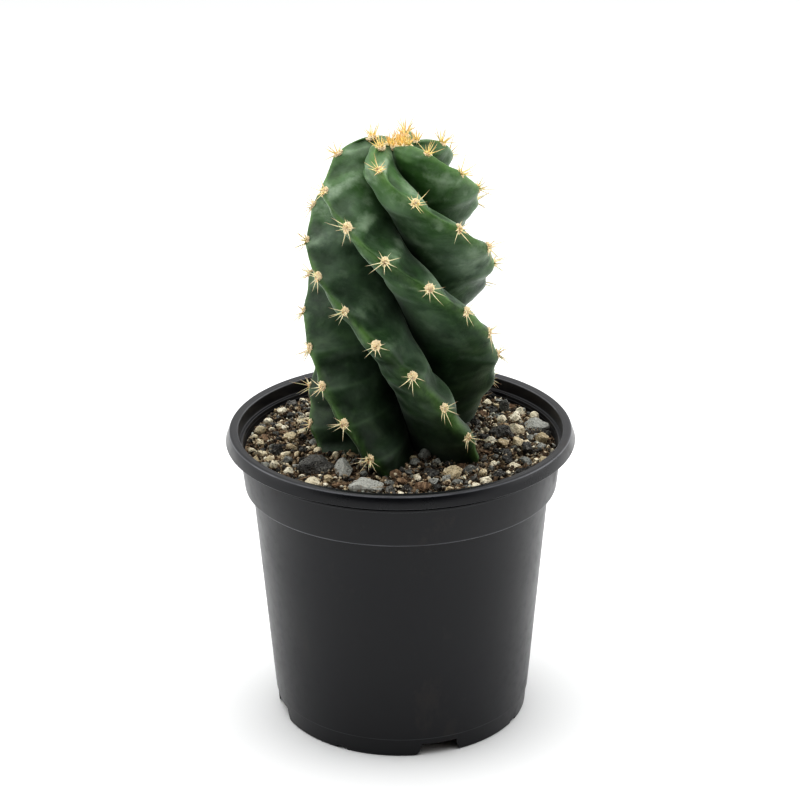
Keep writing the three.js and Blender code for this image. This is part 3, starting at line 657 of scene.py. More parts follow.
# Pot
def at(radius, height, out=0, up=0):
    """A point of the section, moved out and up by so many millimetres."""
    return radius + out * MM, height + up * MM


def arc(centre, size, start, end, steps):
    """Points on a rounded edge of the section; angles in degrees."""
    turns = [math.radians(start + (end - start) * i / steps) for i in range(steps + 1)]
    return [(centre[0] + size * math.cos(turn), centre[1] + size * math.sin(turn))
            for turn in turns]


# The pot's inner wall from its floor up to the collar
INNER_WALL = [at(FOOT_RADIUS - WALL, FLOOR_TOP, -0.4), at(FOOT_RADIUS - WALL, FLOOR_TOP, 0, 0.6),
              at(BODY_FOOT_RADIUS - WALL, BASE_BAND, -0.1, 0.2),
              at(BODY_TOP_RADIUS - WALL, COLLAR_FOOT, 0, 0.9),
              at(COLLAR_RADIUS - WALL, COLLAR_FOOT, 0, 1.5)]


def pot_section():
    """From the axis under the floor, up outside, over the rim and down inside to the axis."""
    skirt = POT_HEIGHT - FLANGE_SKIRT
    flange = POT_HEIGHT - FLANGE_WALL
    lip = RIM_RADIUS - FLANGE_WALL
    foot = FOOT_RADIUS - FOOT_RING
    ridge = at(COLLAR_TOP_RADIUS, COLLAR_BEAD, 0.2, 0.9)
    return [
        (0, FLOOR_UNDERSIDE), (foot, FLOOR_UNDERSIDE), at(foot, 0, 0, 0.25), at(foot, 0, 0.25),
        *arc(at(FOOT_RADIUS, 0, -0.6, 0.6), 0.6 * MM, -90, 0, 4),
        at(FOOT_RADIUS, BASE_BAND, 0.5, -0.2), at(FOOT_RADIUS, BASE_BAND, 0.55),
        at(BODY_FOOT_RADIUS, BASE_BAND, -0.05, 0.1), at(BODY_FOOT_RADIUS, BASE_BAND, 0, 0.35),
        *[(BODY_FOOT_RADIUS + (BODY_TOP_RADIUS - BODY_FOOT_RADIUS) * share,
           BASE_BAND + (COLLAR_FOOT - BASE_BAND) * share) for share in (0.25, 0.5, 0.75)],
        *arc(at(BODY_TOP_RADIUS, COLLAR_FOOT, 0.6, -0.6), 0.6 * MM, 180, 90, 4),
        *arc(at(COLLAR_RADIUS, COLLAR_FOOT, -0.3, 0.3), 0.3 * MM, -90, 0, 3),
        (COLLAR_TOP_RADIUS, COLLAR_BEAD), at(COLLAR_TOP_RADIUS, COLLAR_BEAD, 0.2, 0.1),
        ridge, at(*ridge, 0.3, 0.02), at(*ridge, 0.03, 0.215),
        at(COLLAR_TOP_RADIUS, skirt, 0.1, -0.3), at(COLLAR_TOP_RADIUS, skirt, 1.3, 0.4),
        at(COLLAR_TOP_RADIUS, flange, 1.3), (lip, flange),
        at(lip, skirt, 0, 0.25), at(lip, skirt, 0.25),
        *arc(at(RIM_RADIUS, skirt, -0.4, 0.4), 0.4 * MM, -90, 0, 3),
        *arc((RIM_RADIUS - FLANGE_LEAN - FLANGE_EDGE, POT_HEIGHT - FLANGE_EDGE), FLANGE_EDGE,
             12, 90, 7),
        at(RIM_MOUTH, POT_HEIGHT, 1.6, -0.05),
        *arc(at(RIM_MOUTH, POT_HEIGHT, 0.9, -1.05), 0.9 * MM, 80, 180, 6),
        at(COLLAR_TOP_RADIUS, LEDGE_HEIGHT, 0.05, 0.25), at(COLLAR_TOP_RADIUS, LEDGE_HEIGHT, -0.2),
        *arc(at(COLLAR_TOP_RADIUS - WALL, LEDGE_HEIGHT, 0.25, -0.25), 0.25 * MM, 90, 180, 3),
        *INNER_WALL[::-1], (0, FLOOR_TOP)]


def cutter(outline, depth, turn, reach):
    """A prism across the pot's wall: outline is across and up, reach is where it starts."""
    made = bmesh.new()
    near = [made.verts.new((reach, x, z)) for x, z in outline]
    far = [made.verts.new((reach + depth, x, z)) for x, z in outline]
    made.faces.new(near[::-1])
    made.faces.new(far)
    for i in range(len(outline)):
        j = (i + 1) % len(outline)
        made.faces.new((near[i], near[j], far[j], far[i]))
    made.transform(Matrix.Rotation(turn, 4, "Z"))
    return made


def drain_cutter(x, y):
    made = bmesh.new()
    bmesh.ops.create_cone(made, cap_ends=True, segments=40, radius1=DRAIN_RADIUS,
                          radius2=DRAIN_RADIUS, depth=2 * DRAIN_RADIUS,
                          matrix=Matrix.Translation((x, y, FLOOR_TOP)))
    return made


def notch_outline():
    """An arch with sides that flare out to the foot."""
    side = []
    for i in range(NOTCH_STEPS + 1):
        lean = i / NOTCH_STEPS * math.pi / 2
        narrower = (NOTCH_TOP_WIDTH - NOTCH_FOOT_WIDTH) / 2 * math.sin(lean) ** NOTCH_FLARE
        side.append((NOTCH_FOOT_WIDTH / 2 + narrower, NOTCH_HEIGHT * (1 - math.cos(lean))))
    foot = [(-NOTCH_FOOT_WIDTH / 2, -1 * MM), (NOTCH_FOOT_WIDTH / 2, -1 * MM)]
    return foot + side + [(-x, z) for x, z in reversed(side)]


def make_pot():
    section = pot_section()
    rows = [circle(radius, z, POT_SEGMENTS) for radius, z in section[1:-1]]
    ends = [[0, 0, section[0][1]], [0, 0, section[-1][1]]]
    pot = mesh_object("pot_moulded", *capped(rows, ends))
    cutters = [drain_cutter(0, 0)]
    vent = [(side * VENT_WIDTH / 2, up * VENT_HEIGHT)
            for side, up in ((-1, -1), (1, -1), (1, 1), (-1, 1))]
    for quarter in range(4):
        turn = math.radians(NOTCH_ANGLE + 90 * quarter)
        between = turn + math.pi / 4
        cutters.append(cutter(notch_outline(), NOTCH_REACH, turn,
                              FOOT_RADIUS - FOOT_RING - NOTCH_DEPTH))
        cutters.append(cutter(vent, 2 * VENT_DEPTH, between, FOOT_RADIUS - VENT_DEPTH))
        cutters.append(drain_cutter(*polar(DRAIN_CIRCLE, between)))
    for tool in cutters:
        mesh = bpy.data.meshes.new("cutter")
        bmesh.ops.recalc_face_normals(tool, faces=tool.faces)
        tool.to_mesh(mesh)
        tool.free()
        shape = bpy.data.objects.new("cutter", mesh)
        bpy.context.scene.collection.objects.link(shape)
        cut = pot.modifiers.new("cut", "BOOLEAN")
        cut.object = shape
        cut.operation = "DIFFERENCE"
        cut.solver = "EXACT"
        apply_modifiers(pot)
        bpy.data.objects.remove(shape)
    shade(pot.data, POT_CREASE)
    dress(pot, pot_material(), "pot_plastic", "pot")


# Stem
def stem_centre(z):
    rise = (z - TWIST_FOOT) / TWIST_SPAN - 0.5
    return STEM_OFFSET + LEAN_SIDE * rise, LEAN_BACK * rise


def rib_angle(rib, z):
    """The turn of a rib's crest in degrees. The rib after the last one is the first again."""
    rise = (z - TWIST_FOOT) / TWIST_SPAN
    sway = RIB_SWAY[rib % RIBS] * np.sin(np.pi * np.clip((z - SWAY_FOOT) / SWAY_SPAN, 0, 1))
    wrap = 360 if rib >= RIBS else 0
    return RIB_START[rib % RIBS] - wrap - TWIST_EVEN * rise - TWIST_RISING * rise ** 3 + sway


def straight_radius(z):
    waist = np.clip((WAIST_START - z) / WAIST_RUN, 0, 2)
    return STEM_RADIUS - WAIST_DEPTH * waist ** 2


def stem_levels(straight_rows, dome_rows):
    """Heights and crest radii, lowest first, ending at the tip."""
    low = np.linspace(STEM_FOOT, DOME_START, straight_rows, endpoint=False)
    angle = np.linspace(0, np.pi / 2, dome_rows + 1)
    high = DOME_START + (STEM_TOP - DOME_START) * np.sin(angle) ** (2 / DOME_SQUARENESS)
    dome = STEM_RADIUS * np.cos(angle) ** (2 * DOME_FULLNESS)
    dome[-1] = 0
    return np.concatenate([low, high]), np.concatenate([straight_radius(low), dome])


def crest_line(rib, z, radius):
    turn = np.radians(rib_angle(rib, z))
    x, y = stem_centre(z)
    return np.stack([x + radius * np.cos(turn), y + radius * np.sin(turn), z], 1)


def from_tip(rib, z, radius):
    """Distance along a rib's crest from the tip down to each level."""
    steps = np.linalg.norm(np.diff(crest_line(rib, z, radius), axis=0), axis=1)
    return np.concatenate([np.cumsum(steps[::-1])[::-1], [0]])


def areoles_of(rib):
    """Place, facing and distance from the tip of every areole on a rib, the youngest first."""
    z, radius = stem_levels(CREST_ROWS, CREST_ROWS)
    far = from_tip(rib, z, radius)
    wanted = list(np.arange(AREOLE_FIRST[rib], far[0], AREOLE_STEP[rib]))
    if wanted[0] < AREOLE_YOUNG[rib]:
        wanted[0] = AREOLE_YOUNG[rib]
    else:
        wanted.insert(0, AREOLE_YOUNG[rib])
    wanted.insert(0, AREOLE_BUD)
    line = crest_line(rib, z, radius)
    found = []
    for distance in wanted:
        i = int(np.abs(far - distance).argmin())
        if z[i] < AREOLE_LOWEST:
            continue
        low, high = max(i - AREOLE_ROWS, 0), min(i + AREOLE_ROWS, len(z) - 1)
        slope = max(math.atan2(radius[low] - radius[high], z[high] - z[low]), 0)
        facing = (*polar(math.cos(slope), math.radians(rib_angle(rib, z[i]))), math.sin(slope))
        found.append({"at": Vector(line[i]), "facing": Vector(facing), "far": distance, "z": z[i]})
    return found


def upward(values, z):
    """A value that goes evenly from the first one at the soil to the second one at the top."""
    return np.interp(z, (SOIL_CROWN, STEM_TOP), values)


def flank_depth(share, lower, z):
    """How far a flank has fallen from its crest towards its furrow, from 0 to 1."""
    fold = upward(LOWER_FOLD if lower else UPPER_FOLD, z)
    fullness = upward(LOWER_FULLNESS if lower else UPPER_FULLNESS, z)
    full = 1 - fold / 2 - FURROW_ROUND / 2
    near = share ** 2 / (2 * fold)
    middle = share - fold / 2
    deep = full - (1 - share) ** 2 / (2 * FURROW_ROUND)
    straight = np.where(share < fold, near, np.where(share < 1 - FURROW_ROUND, middle, deep)) / full
    return (1 - fullness) * straight + fullness * share ** 3


def stem_columns():
    """Rib, side and share of the way to the furrow for every column, turning clockwise."""
    columns = []
    for rib in range(RIBS):
        columns += [(rib, rib, i / LOWER_COLUMNS, True) for i in range(LOWER_COLUMNS)]
        columns += [(rib, rib + 1, 1 - i / UPPER_COLUMNS, False) for i in range(UPPER_COLUMNS)]
    return columns


def stem_surface(z, radius, areoles):
    """Points of the ribbed skin, a row for each level, with what its material needs."""
    points = []
    values = {"share": [], "chin": [], "swell": []}
    centre_x, centre_y = stem_centre(z)
    fade_tip = np.minimum(1, radius / TIP_FADE)
    below_tip = np.clip((radius - HOLLOW_FADE) / HOLLOW_FADE, 0, 1)
    rise = np.clip((z - DOME_START) / (STEM_TOP - DOME_START), 0, 1)
    for rib, side, share, lower in stem_columns():
        crest = rib_angle(rib, z)
        furrow = crest + (rib_angle(rib + 1, z) - crest) * upward(FURROW_PLACE, z)
        crest = rib_angle(side, z)
        side = side % RIBS
        reach = radius * (1 - (1 - FURROW) * flank_depth(share, lower, z))
        far = from_tip(side, z, radius)
        phase = (far - AREOLE_FIRST[side]) / AREOLE_STEP[side]
        slanted = phase - FLANK_SLANT * share * (1 if lower else UPPER_SLANT)
        tubercles = sum(TUBERCLE * np.exp(-((a["z"] - z) / TUBERCLE_REACH) ** 2)
                        for a in areoles[side])
        reach = reach + tubercles * max(0, 1 - 2 * share) * fade_tip
        band = [noise.noise(Vector((d / FOLD_SPACING + share * FOLD_DRIFT[0],
                                    share * FOLD_DRIFT[1], side * FOLD_DRIFT[2]))) for d in far]
        folds = FLANK_WAVE * np.cos(TURN * slanted) + FLANK_FOLDS * np.array(band)
        folds = folds * math.sin(math.pi * share) ** FOLD_ROUND
        turn = np.radians(crest + (furrow - crest) * share)
        if lower:
            reach = reach + folds * fade_tip
        else:
            between = np.exp(-((phase - np.floor(phase) - 0.5) / HOLLOW_SPAN) ** 2)
            across = math.exp(-((share - HOLLOW_SHARE) / HOLLOW_WIDTH) ** 2)
            folds = folds - upward(HOLLOW_DEPTH, z) * between * across * below_tip
            reach = reach + FOLD_OUT * folds * fade_tip
            turn = turn + FOLD_ASIDE * folds * fade_tip / np.maximum(reach, FOLD_LEAST_RADIUS)
        dimple = TIP_DIMPLE * rise * np.exp(-(reach / TIP_DIMPLE_REACH) ** 2)
        points.append(np.stack([centre_x + reach * np.cos(turn), centre_y + reach * np.sin(turn),
                                z - dimple], 1))
        ridge = np.exp(-((slanted - np.round(slanted)) / CHIN_WIDTH) ** 2)
        ridge = ridge * (share > CHIN_START) * (1 - share) ** CHIN_FADE
        swell = folds / SWELL_RANGE * upward(SWELL_UPWARD, z) * (SWELL_LOWER if lower else 1)
        values["share"].append(np.full(len(z), share))
        values["chin"].append(ridge * (CHIN_LOWER if lower else 1))
        values["swell"].append(0.5 + swell)
    return np.stack(points, 1), {key: np.stack(column, 1) for key, column in values.items()}


def skin_lump(place):
    """Slow dents and quick lumps of the skin."""
    dented = Vector((place.x, place.y, place.z * SKIN_STRETCH))
    slow = noise.noise(dented * SKIN_DENTS[0]) * SKIN_DENTS[1]
    return slow + noise.noise(dented * SKIN_LUMPS[0] + Vector((7, 3, 5))) * SKIN_LUMPS[1]


def make_stem(areoles):
    """The stem. It also moves the areoles onto the finished skin."""
    z, radius = (level[:-1] for level in stem_levels(STRAIGHT_ROWS, DOME_ROWS))
    points, values = stem_surface(z, radius, areoles)
    flat = points.reshape(-1, 3)
    out = flat[:, :2] - np.stack(stem_centre(flat[:, 2]), 1)
    length = np.linalg.norm(out, axis=1)
    lump = np.array([skin_lump(Vector(p)) for p in flat]) * np.minimum(1, length / SKIN_FADE)
    flat[:, :2] += out / np.maximum(length, 1e-6)[:, None] * lump[:, None]
    for rib, row in enumerate(areoles):
        crest = points[:, rib * (LOWER_COLUMNS + UPPER_COLUMNS)]
        for areole in row:
            areole["at"] = Vector([np.interp(areole["z"], z, crest[:, i]) for i in range(3)])
    ends = [(*stem_centre(STEM_FOOT), STEM_FOOT), (*stem_centre(STEM_TOP), STEM_TOP - TIP_DIMPLE)]
    vertices, faces = capped(points, ends, clockwise=True)
    at_ends = {"share": (1, 0), "chin": (0, 0), "swell": (0.5, 0.5)}
    values = {key: np.append(values[key].ravel(), at_ends[key]) for key in values}
    values["height"] = (vertices[:, 2] - SOIL_CROWN) / (STEM_TOP - SOIL_CROWN)
    values["bloom"] = [0.5 + 0.5 * noise.noise(Vector(p) * BLOOM_SCALE) for p in vertices]
    stem = mesh_object("cactus_stem", vertices, faces, values)
    dress(stem, stem_material(), "cactus_skin", "stem")


def across_areole(facing):
    """Two directions across an areole: level, and up the rib."""
    side = Vector((0, 0, 1)).cross(facing)
    side = side.normalized() if side.length > 1e-4 else Vector((1, 0, 0))
    return side, facing.cross(side)


def make_wool(areoles):
    ball, faces = ball_mesh(4)
    rim, added, eye_depth, eye_width = WOOL_TONE
    eye = eye_depth * np.exp(-(np.linalg.norm(ball[:, :2], axis=1) / eye_width) ** 2)
    rng = random.Random(31)
    parts = []
    for areole in areoles:
        facing = areole["facing"]
        young = max(0, 1 - areole["far"] / WOOL_YOUNG_REACH)
        size = AREOLE_RADIUS * rng.uniform(*AREOLE_SIZES) * (1 + WOOL_YOUNG_GROWTH * young)
        shift = rng.uniform(0, 100)
        moves = Vector((shift, 0, 0)), Vector((0, shift, 0))
        rough = np.array([sum(noise.noise(Vector(p) * scale + move) * height
                              for (scale, height), move in zip(WOOL_TUFTS, moves)) for p in ball])
        shape = ball * np.array(WOOL_SHAPE) * (1 + rough)[:, None] * size
        # The wool's own tone, plus painted light and shade: lighter where the tufts stand out,
        # darker between them
        tone = np.clip(rim + added * young - eye + rough, 0, 1)
        place = np.array(areole["at"] - facing * AREOLE_SUNK)
        parts.append((shape @ np.array([*across_areole(facing), facing]) + place, faces, (tone,)))
    dress(joined("areole_wool", parts, ("tone",)), wool_material(), "cactus_skin")


def spine_mesh(root, direction, length, base, bend, age):
    """A tapered round spine with a swollen foot and a slight curve."""
    direction = direction.normalized()
    across = direction.orthogonal().normalized()
    other = direction.cross(across)
    vertices, along = [], []
    for i in range(SPINE_STEPS):
        share = i / SPINE_STEPS
        middle = root + direction * (length * share) + bend * (length * share * share)
        swollen = 1 + SPINE_FOOT_SWELL * math.exp(-(share / SPINE_FOOT_REACH) ** 2)
        thick = base * (1 - share) ** SPINE_TAPER * swollen
        for k in range(SPINE_SIDES):
            turn = TURN * k / SPINE_SIDES
            vertices.append(middle + (across * math.cos(turn) + other * math.sin(turn)) * thick)
            along.append(share)
    tip = len(vertices)
    vertices.append(root + direction * length + bend * length)
    along.append(1)
    last = tip - SPINE_SIDES
    faces = ring_faces(SPINE_STEPS, SPINE_SIDES)
    faces += [(last + k, last + (k + 1) % SPINE_SIDES, tip) for k in range(SPINE_SIDES)]
    faces.append(tuple(range(SPINE_SIDES - 1, -1, -1)))
    return np.array(vertices), faces, (np.array(along), np.full(len(vertices), age))


def random_bend(up, size, rng):
    return Vector((rng.uniform(-1, 1), rng.uniform(-1, 1), rng.uniform(*up))) * size


def spines_of(crown, length, rng):
    """Turn, tilt in degrees and share of the length for every spine of an areole."""
    def drawn(kind):
        return rng.uniform(*kind[0]), rng.uniform(*kind[1])

    ring = rng.choice(SPINE_RING_COUNTS) + round(crown)
    start = rng.uniform(0, TURN)
    found = []
    for i in range(ring):
        turn = TURN * i / ring + start + rng.uniform(-SPINE_RING_JITTER, SPINE_RING_JITTER)
        tilt, share = drawn(SPINE_RING)
        found.append((turn, tilt * (1 - SPINE_RING_RISE * crown), share))
    for _ in range(rng.choice(SPINE_MIDDLE_COUNTS) + round(SPINE_CROWN_COUNT * crown)):
        found.append((rng.uniform(0, SPINE_ANY_TURN), *drawn(SPINE_MIDDLE)))
    if crown:
        turn = rng.uniform(0, SPINE_ANY_TURN)
        tilt, share = drawn(SPINE_TALL)
        found.append((turn, tilt, share * SPINE_CROWN_LENGTH / length))
    return found


def make_spines(areoles):
    rng = random.Random(47)
    ceiling = cad_box[1].z - SPINE_HEADROOM
    flat_tilt, flat_rise, flat_share = SPINE_FLAT_UP
    parts = []
    for areole in areoles:
        facing = areole["facing"]
        side, rise = across_areole(facing)
        crown = max(0, 1 - areole["far"] / SPINE_CROWN_REACH)
        age = min(1, areole["far"] / SPINE_OLD_REACH)
        less = 1 - SPINE_CROWN_LESS * crown
        for turn, tilt, share in spines_of(crown, SPINE_LENGTH * less, rng):
            tilt = math.radians(tilt)
            outward = side * math.cos(turn) + rise * math.sin(turn)
            upright = SPINE_TALL_UPRIGHT * math.sqrt(crown) if share > SPINE_TALL_FROM else 0
            direction = facing * math.cos(tilt) + outward * math.sin(tilt) + Vector((0, 0, upright))
            length = SPINE_LENGTH * less * share
            if tilt > flat_tilt and outward.z > flat_rise:
                length *= flat_share
            root = areole["at"] + outward * (rng.uniform(*SPINE_ROOTS) * MM) + facing * SPINE_LIFT
            bend = random_bend(*SPINE_BEND, rng)
            top = root.z + (direction.z + bend.z) * length
            if top > ceiling:
                length *= (ceiling - root.z) / (top - root.z)
            thick = SPINE_RADIUS * rng.uniform(*SPINE_RADII) * less
            parts.append(spine_mesh(root, direction, length, thick, bend, age))
    dress(joined("spines", parts, ("along", "age")), spine_material(), "cactus_skin")


# Potting mix
def soil_height(x, y):
    rise = np.clip((SOIL_SLOPE_START - np.hypot(x, y)) / SOIL_SLOPE_RUN, 0, 1)
    wave = SOIL_WAVE * (np.sin(x / MM * 0.31 + 1) + np.cos(y / MM * 0.27 - x / MM * 0.12))
    return SOIL_EDGE + (SOIL_CROWN - SOIL_EDGE) * rise + wave


def stem_outline(areoles):
    """A function that gives how far a place on the soil lies outside the stem."""
    z = np.array([SOIL_CROWN])
    points = stem_surface(z, straight_radius(z), areoles)[0][0]
    x, y = stem_centre(SOIL_CROWN)
    turn = np.arctan2(points[:, 1] - y, points[:, 0] - x)
    reach = np.hypot(points[:, 0] - x, points[:, 1] - y)
    order = np.argsort(turn)
    return lambda px, py: (np.hypot(px - x, py - y) - np.interp(
        np.arctan2(py - y, px - x), turn[order], reach[order], period=TURN))


def make_soil(clear_of_stem):
    rows = [circle(radius - GAP, z + GAP, SOIL_SEGMENTS) for radius, z in INNER_WALL]
    for radius in np.linspace(SOIL_RADIUS, SOIL_INNER, SOIL_RINGS):
        x, y, _ = circle(radius, 0, SOIL_SEGMENTS).T
        bumps = np.array([sum(noise.noise(Vector((a, b, layer)) * scale) * height
                              for scale, layer, height in SOIL_BUMPS) for a, b in zip(x, y)]) * MM
        surface = soil_height(x, y) - SOIL_SUNK + bumps
        inside = clear_of_stem(x, y) < SOIL_PIT_EDGE
        rows.append(circle(radius, np.where(inside, SOIL_PIT, surface), SOIL_SEGMENTS))
    vertices, faces = capped(rows, [(0, 0, FLOOR_TOP + GAP), (0, 0, SOIL_PIT)])
    tone = [0.35 + 0.5 * noise.noise(Vector(v) * 600) for v in vertices]
    soil = mesh_object("potting_mix", vertices, faces, {"tone": tone})
    dress(soil, crumb_material(), "potting_mix", "soil")


def soiled(above, half):
    """How much soil stains a stone's points, from their heights and half its height."""
    return np.clip(0.5 - above / (BURIED_SPAN * half), 0, 1)


def chopped(points, chops, depths, rng):
    """A ball about its own middle with flats chopped off it, at depths out of 1."""
    points = points.copy()
    for _ in range(chops):
        direction = np.array([rng.gauss(0, 1) for _ in range(3)])
        direction /= np.linalg.norm(direction)
        over = points @ direction - rng.uniform(*depths)
        points -= np.maximum(over, 0)[:, None] * direction
    return points


def turned(points, rng, tilt):
    spin = Matrix.Rotation(rng.uniform(0, TURN), 3, "Z")
    lean = Matrix.Rotation(rng.gauss(0, tilt), 3, "X") @ Matrix.Rotation(rng.gauss(0, tilt), 3, "Y")
    return points @ np.array(lean @ spin).T


def scattered(near, far, rng):
    """A place between two radii, as likely in one spot as in another."""
    return polar(math.sqrt(rng.uniform(near ** 2, far ** 2)), rng.uniform(0, TURN))


class Bed:
    """Keeps grains from crowding each other, the stem, the wall and the named stones."""

    def __init__(self, clear_of_stem, stones):
        self.clear_of_stem = clear_of_stem
        self.grid = {}
        for stone in stones:
            self.take(*stone)

    def square(self, x, y):
        return int(x // BED_SQUARE), int(y // BED_SQUARE)

    def take(self, x, y, half):
        self.grid.setdefault(self.square(x, y), []).append((x, y, half))

    def free(self, x, y, half, spacing):
        if np.hypot(x, y) > SOIL_RADIUS - half * BED_WALL:
            return False
        if self.clear_of_stem(x, y) < half * BED_STEM:
            return False
        column, row = self.square(x, y)
        near = range(-BED_REACH, BED_REACH + 1)
        return not any(math.hypot(other_x - x, other_y - y) < spacing * (half + other)
                       for i in near for j in near
                       for other_x, other_y, other in self.grid.get((column + i, row + j), ()))

    def spot(self, half, spacing, rng):
        for _ in range(BED_TRIES):
            place = scattered(BED_INNER, SOIL_RADIUS, rng)
            if self.free(*place, half, spacing):
                self.take(*place, half)
                return place
        return None


def grain(kind, x, y, half, lift, rng, level, wide=None):
    """A loose stone: a chopped ball with low lumps, part of it in the mix."""
    look = KINDS[kind]
    ball, faces = ball_mesh(level)
    wide = wide or rng.uniform(*GRAIN_WIDTHS)
    high = half * rng.uniform(*look["flat"])
    points = chopped(ball, look["chops"], GRAIN_CHOPS, rng)
    for scale, share in GRAIN_LUMPS:
        shift = Vector([rng.uniform(0, 50) for _ in range(3)])
        swell = np.array([noise.noise(Vector(p) * scale + shift) for p in points])
        points = points * (1 + swell * (look["lumps"] * share))[:, None]
    points = turned(points * np.array((half, half * wide, high)), rng, GRAIN_TILT)
    middle = np.array([x, y, float(soil_height(x, y)) + lift * high])
    tone = np.full(len(points), rng.uniform(*look["tone"]))
    return points + middle, faces, (tone, soiled(points[:, 2] + lift * high, high))


def make_grains(clear_of_stem, named):
    """Heaps of grains by kind: those placed as in the photo, then ever smaller random ones."""
    bed = Bed(clear_of_stem, named)
    rng = random.Random(90)
    heaps = {kind: [] for kind in KINDS}
    for kind, x, y, half, wide in LANDMARKS:
        place = x * MM, y * MM, half * MM
        bed.take(*place)
        heaps[kind].append(grain(kind, *place, LANDMARK_LIFT, rng, LANDMARK_LEVEL, wide))
    often = [look["often"] for look in KINDS.values()]
    for small, large, count, lift, spacing, level in GRAIN_WAVES:
        for _ in range(count):
            half = rng.uniform(small, large) * MM
            spot = bed.spot(half, spacing, rng)
            if spot is not None:
                kind = rng.choices(list(KINDS), often)[0]
                heaps[kind].append(grain(kind, *spot, half, lift, rng, level))
    return heaps


def make_crumbs(clear_of_stem):
    """Loose peat, bark and grit too small to name, strewn over everything."""
    rng = random.Random(12)
    ball, faces = ball_mesh(1)
    parts = []
    while len(parts) < CRUMBS:
        half = (0.25 + 0.75 * rng.random() ** 1.6) * MM
        x, y = scattered(CRUMB_INNER, SOIL_RADIUS - half, rng)
        if clear_of_stem(x, y) < CRUMB_GAP:
            continue
        jag = np.array([rng.uniform(0.6, 1.25) for _ in range(len(ball))])
        size = np.array([half, half * rng.uniform(0.4, 1), half * rng.uniform(0.4, 0.9)])
        points = turned(ball * jag[:, None] * size, rng, CRUMB_TILT)
        z = float(soil_height(x, y)) + rng.uniform(-0.5, 0.9) * MM
        parts.append((points + np.array([x, y, z]), faces, (np.full(len(ball), rng.random()),)))
    crumbs = joined("peat_crumbs", parts, ("tone",), smooth=False)
    dress(crumbs, crumb_material(), "potting_mix")


def make_fibres(clear_of_stem):
    """Thin slivers of bark that lie on the mix."""
    rng = random.Random(8)
    parts = []
    while len(parts) < FIBRES:
        x, y = polar(rng.uniform(26, 52) * MM, rng.uniform(0, TURN))
        if clear_of_stem(x, y) < FIBRE_GAP:
            continue
        length = rng.uniform(3, 9) * MM
        heading = rng.uniform(0, TURN)
        root = Vector((x, y, float(soil_height(x, y)) + rng.uniform(0.2, 1.6) * MM))
        direction = Vector((*polar(1, heading), rng.uniform(-0.1, 0.25)))
        end = root + direction * length
        if (math.hypot(end.x, end.y) > SOIL_RADIUS - FIBRE_WALL_GAP
                or clear_of_stem(end.x, end.y) < FIBRE_END_GAP):
            continue
        bend = random_bend(*FIBRE_BEND, rng)
        thick = rng.uniform(0.12, 0.25) * MM
        vertices, faces, _ = spine_mesh(root, direction, length, thick, bend, 1)
        parts.append((vertices, faces, (np.full(len(vertices), rng.uniform(0.2, 0.9)),)))
    dress(joined("bark_fibres", parts, ("tone",)), bark_material(), "potting_mix")


def refine_stone(node, kind, tone):
    """The named stone with finer faces, flats and a rough surface."""
    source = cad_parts[node].data
    rough, chops = KINDS[kind]["named"]
    stone = mesh_object(node + "_fine", [v.co for v in source.vertices],
                        [tuple(face.vertices) for face in source.polygons])
    made = bmesh.new()
    made.from_mesh(stone.data)
    bmesh.ops.remove_doubles(made, verts=made.verts, dist=0.01 * MM)
    made.to_mesh(stone.data)
    made.free()
    divide = stone.modifiers.new("divide", "SUBSURF")
    divide.levels = STONE_DIVISIONS
    divide.render_levels = STONE_DIVISIONS
    apply_modifiers(stone)
    low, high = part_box(node)
    centre = (low + high) / 2
    half = np.array((high - low) / 2)
    shift = Vector((len(node), node.count("e"), 3))
    places = np.array([(vertex.co - centre) for vertex in stone.data.vertices]) * STONE_GROWTH
    places = chopped(places / half, chops, STONE_CHOPS, random.Random(node)) * half
    swell = np.array([1 + rough * sum(height * noise.noise(Vector(p) * scale + shift)
                                      for scale, height in STONE_LUMPS) for p in places])
    places = places * swell[:, None] + np.array(centre)
    stone.data.vertices.foreach_set("co", places.ravel())
    above = places[:, 2] - float(soil_height(centre.x, centre.y))
    set_values(stone.data, "tone", np.full(len(places), tone))
    set_values(stone.data, "buried", soiled(above, (high.z - low.z) / 2))
    shade(stone.data, STONE_CREASE)
    dress(stone, *materials[kind], node)


# Stage, light and camera
def make_stage():
    corners = [(-1, -1), (1, -1), (1, 1), (-1, 1)]
    floor = mesh_object("floor", [(x * FLOOR_HALF, y * FLOOR_HALF, 0) for x, y in corners],
                        [(0, 1, 2, 3)])
    g = Finish("floor_paper", roughness=0.85, specular=0.1)
    tint = g.ramp(g.noise(3, 2), [(0.0, (0.855, 0.86, 0.858)), (1.0, (0.875, 0.88, 0.878))])
    far = g.node("ShaderNodeSeparateXYZ", {"Vector": g.place}, "Y")
    # Painted fall-off of light on the far floor
    tint = g.mix(g.span(far, *FLOOR_FAR, 0, 0.6), tint, (0.3, 0.305, 0.304))
    floor.data.materials.append(g.out(Base_Color=tint))


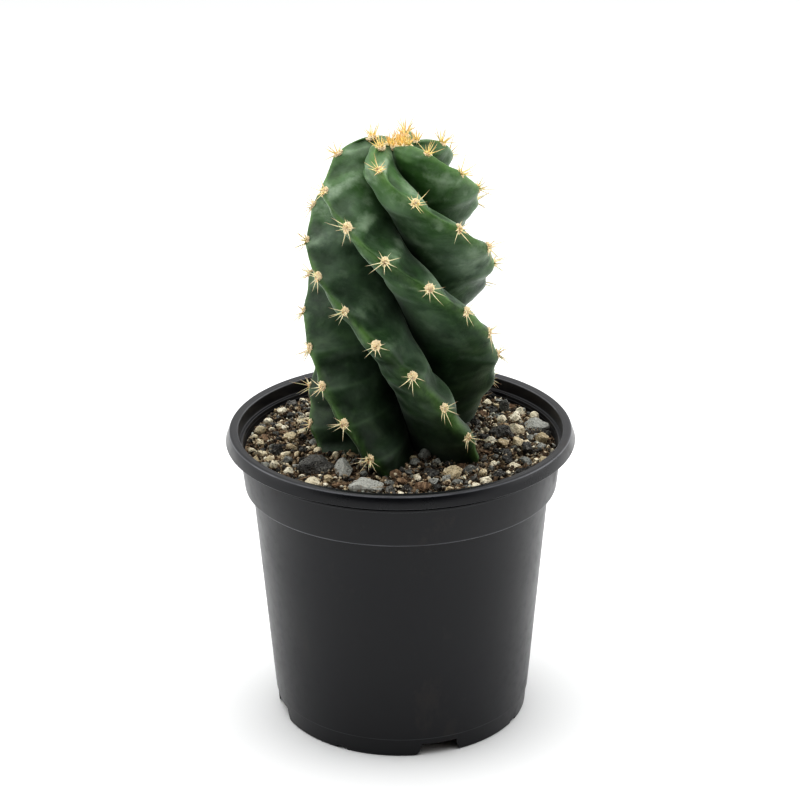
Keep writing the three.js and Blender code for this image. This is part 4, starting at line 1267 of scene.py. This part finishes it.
def make_lights():
    """A pale tent: soft lobes of light from above, behind and both sides, and a dark front."""
    world = bpy.data.worlds.new("studio")
    g = Graph(world, "Generated")
    total = 0.0
    for direction, strength in LIGHT_LOBES:
        sockets = {0: g.place, 1: Vector(direction).normalized()}
        towards = g.node("ShaderNodeVectorMath", sockets, "Value", operation="DOT_PRODUCT")
        lobe = g.math("POWER", g.math("MAXIMUM", towards, 0), LOBE_FOCUS)
        total = g.plus(total, g.times(lobe, strength))
    background = g.tree.nodes["Background"].inputs
    g.feed(background["Strength"], total)
    g.feed(background["Color"], (1, 1, 1, 1))
    scene = bpy.context.scene
    scene.world = world
    scene.view_settings.view_transform = "Standard"
    scene.view_settings.look = "High Contrast"


def make_camera():
    camera = bpy.data.cameras.new("camera")
    camera.sensor_width = SENSOR
    camera.lens = FOCAL_PIXELS / IMAGE_PIXELS * SENSOR
    holder = bpy.data.objects.new("camera", camera)
    tilt = Matrix.Rotation(math.radians(CAMERA_TILT), 4, "X")
    roll = Matrix.Rotation(math.radians(CAMERA_ROLL), 4, "Z")
    holder.matrix_world = Matrix.Translation(CAMERA_PLACE) @ tilt @ roll
    bpy.context.scene.collection.objects.link(holder)
    bpy.context.scene.camera = holder


make_camera()
make_lights()
make_stage()
make_pot()

ribs = [areoles_of(rib) for rib in range(RIBS)]
make_stem(ribs)
make_wool(sum(ribs, []))
make_spines(sum(ribs, []))

outline = stem_outline(ribs)
make_soil(outline)
make_crumbs(outline)
make_fibres(outline)

materials = {
    "lava": (stone_material("lava_stone", [(0.0, (0.055, 0.054, 0.052)),
                                           (0.5, (0.125, 0.124, 0.118)),
                                           (1.0, (0.26, 0.255, 0.235))],
                            (0.5, 0.48, 0.43), 950, 0.0014), "dark_stone"),
    "grey": (stone_material("grey_stone", [(0.0, (0.11, 0.114, 0.108)), (0.5, (0.26, 0.268, 0.25)),
                                           (1.0, (0.47, 0.475, 0.44))],
                            (0.66, 0.63, 0.54), 1300, 0.0006), "grey_stone"),
    "pumice": (stone_material("pumice_stone", [(0.0, (0.44, 0.35, 0.22)), (0.4, (0.7, 0.61, 0.43)),
                                               (1.0, (0.9, 0.85, 0.7))],
                              (0.95, 0.92, 0.8), 1300, 0.0006), "cream_stone"),
    "bark": (bark_material(), "bark")}

named = []
for node, (kind, tone) in sorted(STONES.items()):
    low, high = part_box(node)
    named.append(((low.x + high.x) / 2, (low.y + high.y) / 2,
                  max(high.x - low.x, high.y - low.y) / 2))
    refine_stone(node, kind, tone)

for kind, parts in make_grains(outline, named).items():
    grains = joined(kind + "_grains", parts, ("tone", "buried"), crease=GRAIN_CREASE)
    dress(grains, *materials[kind])
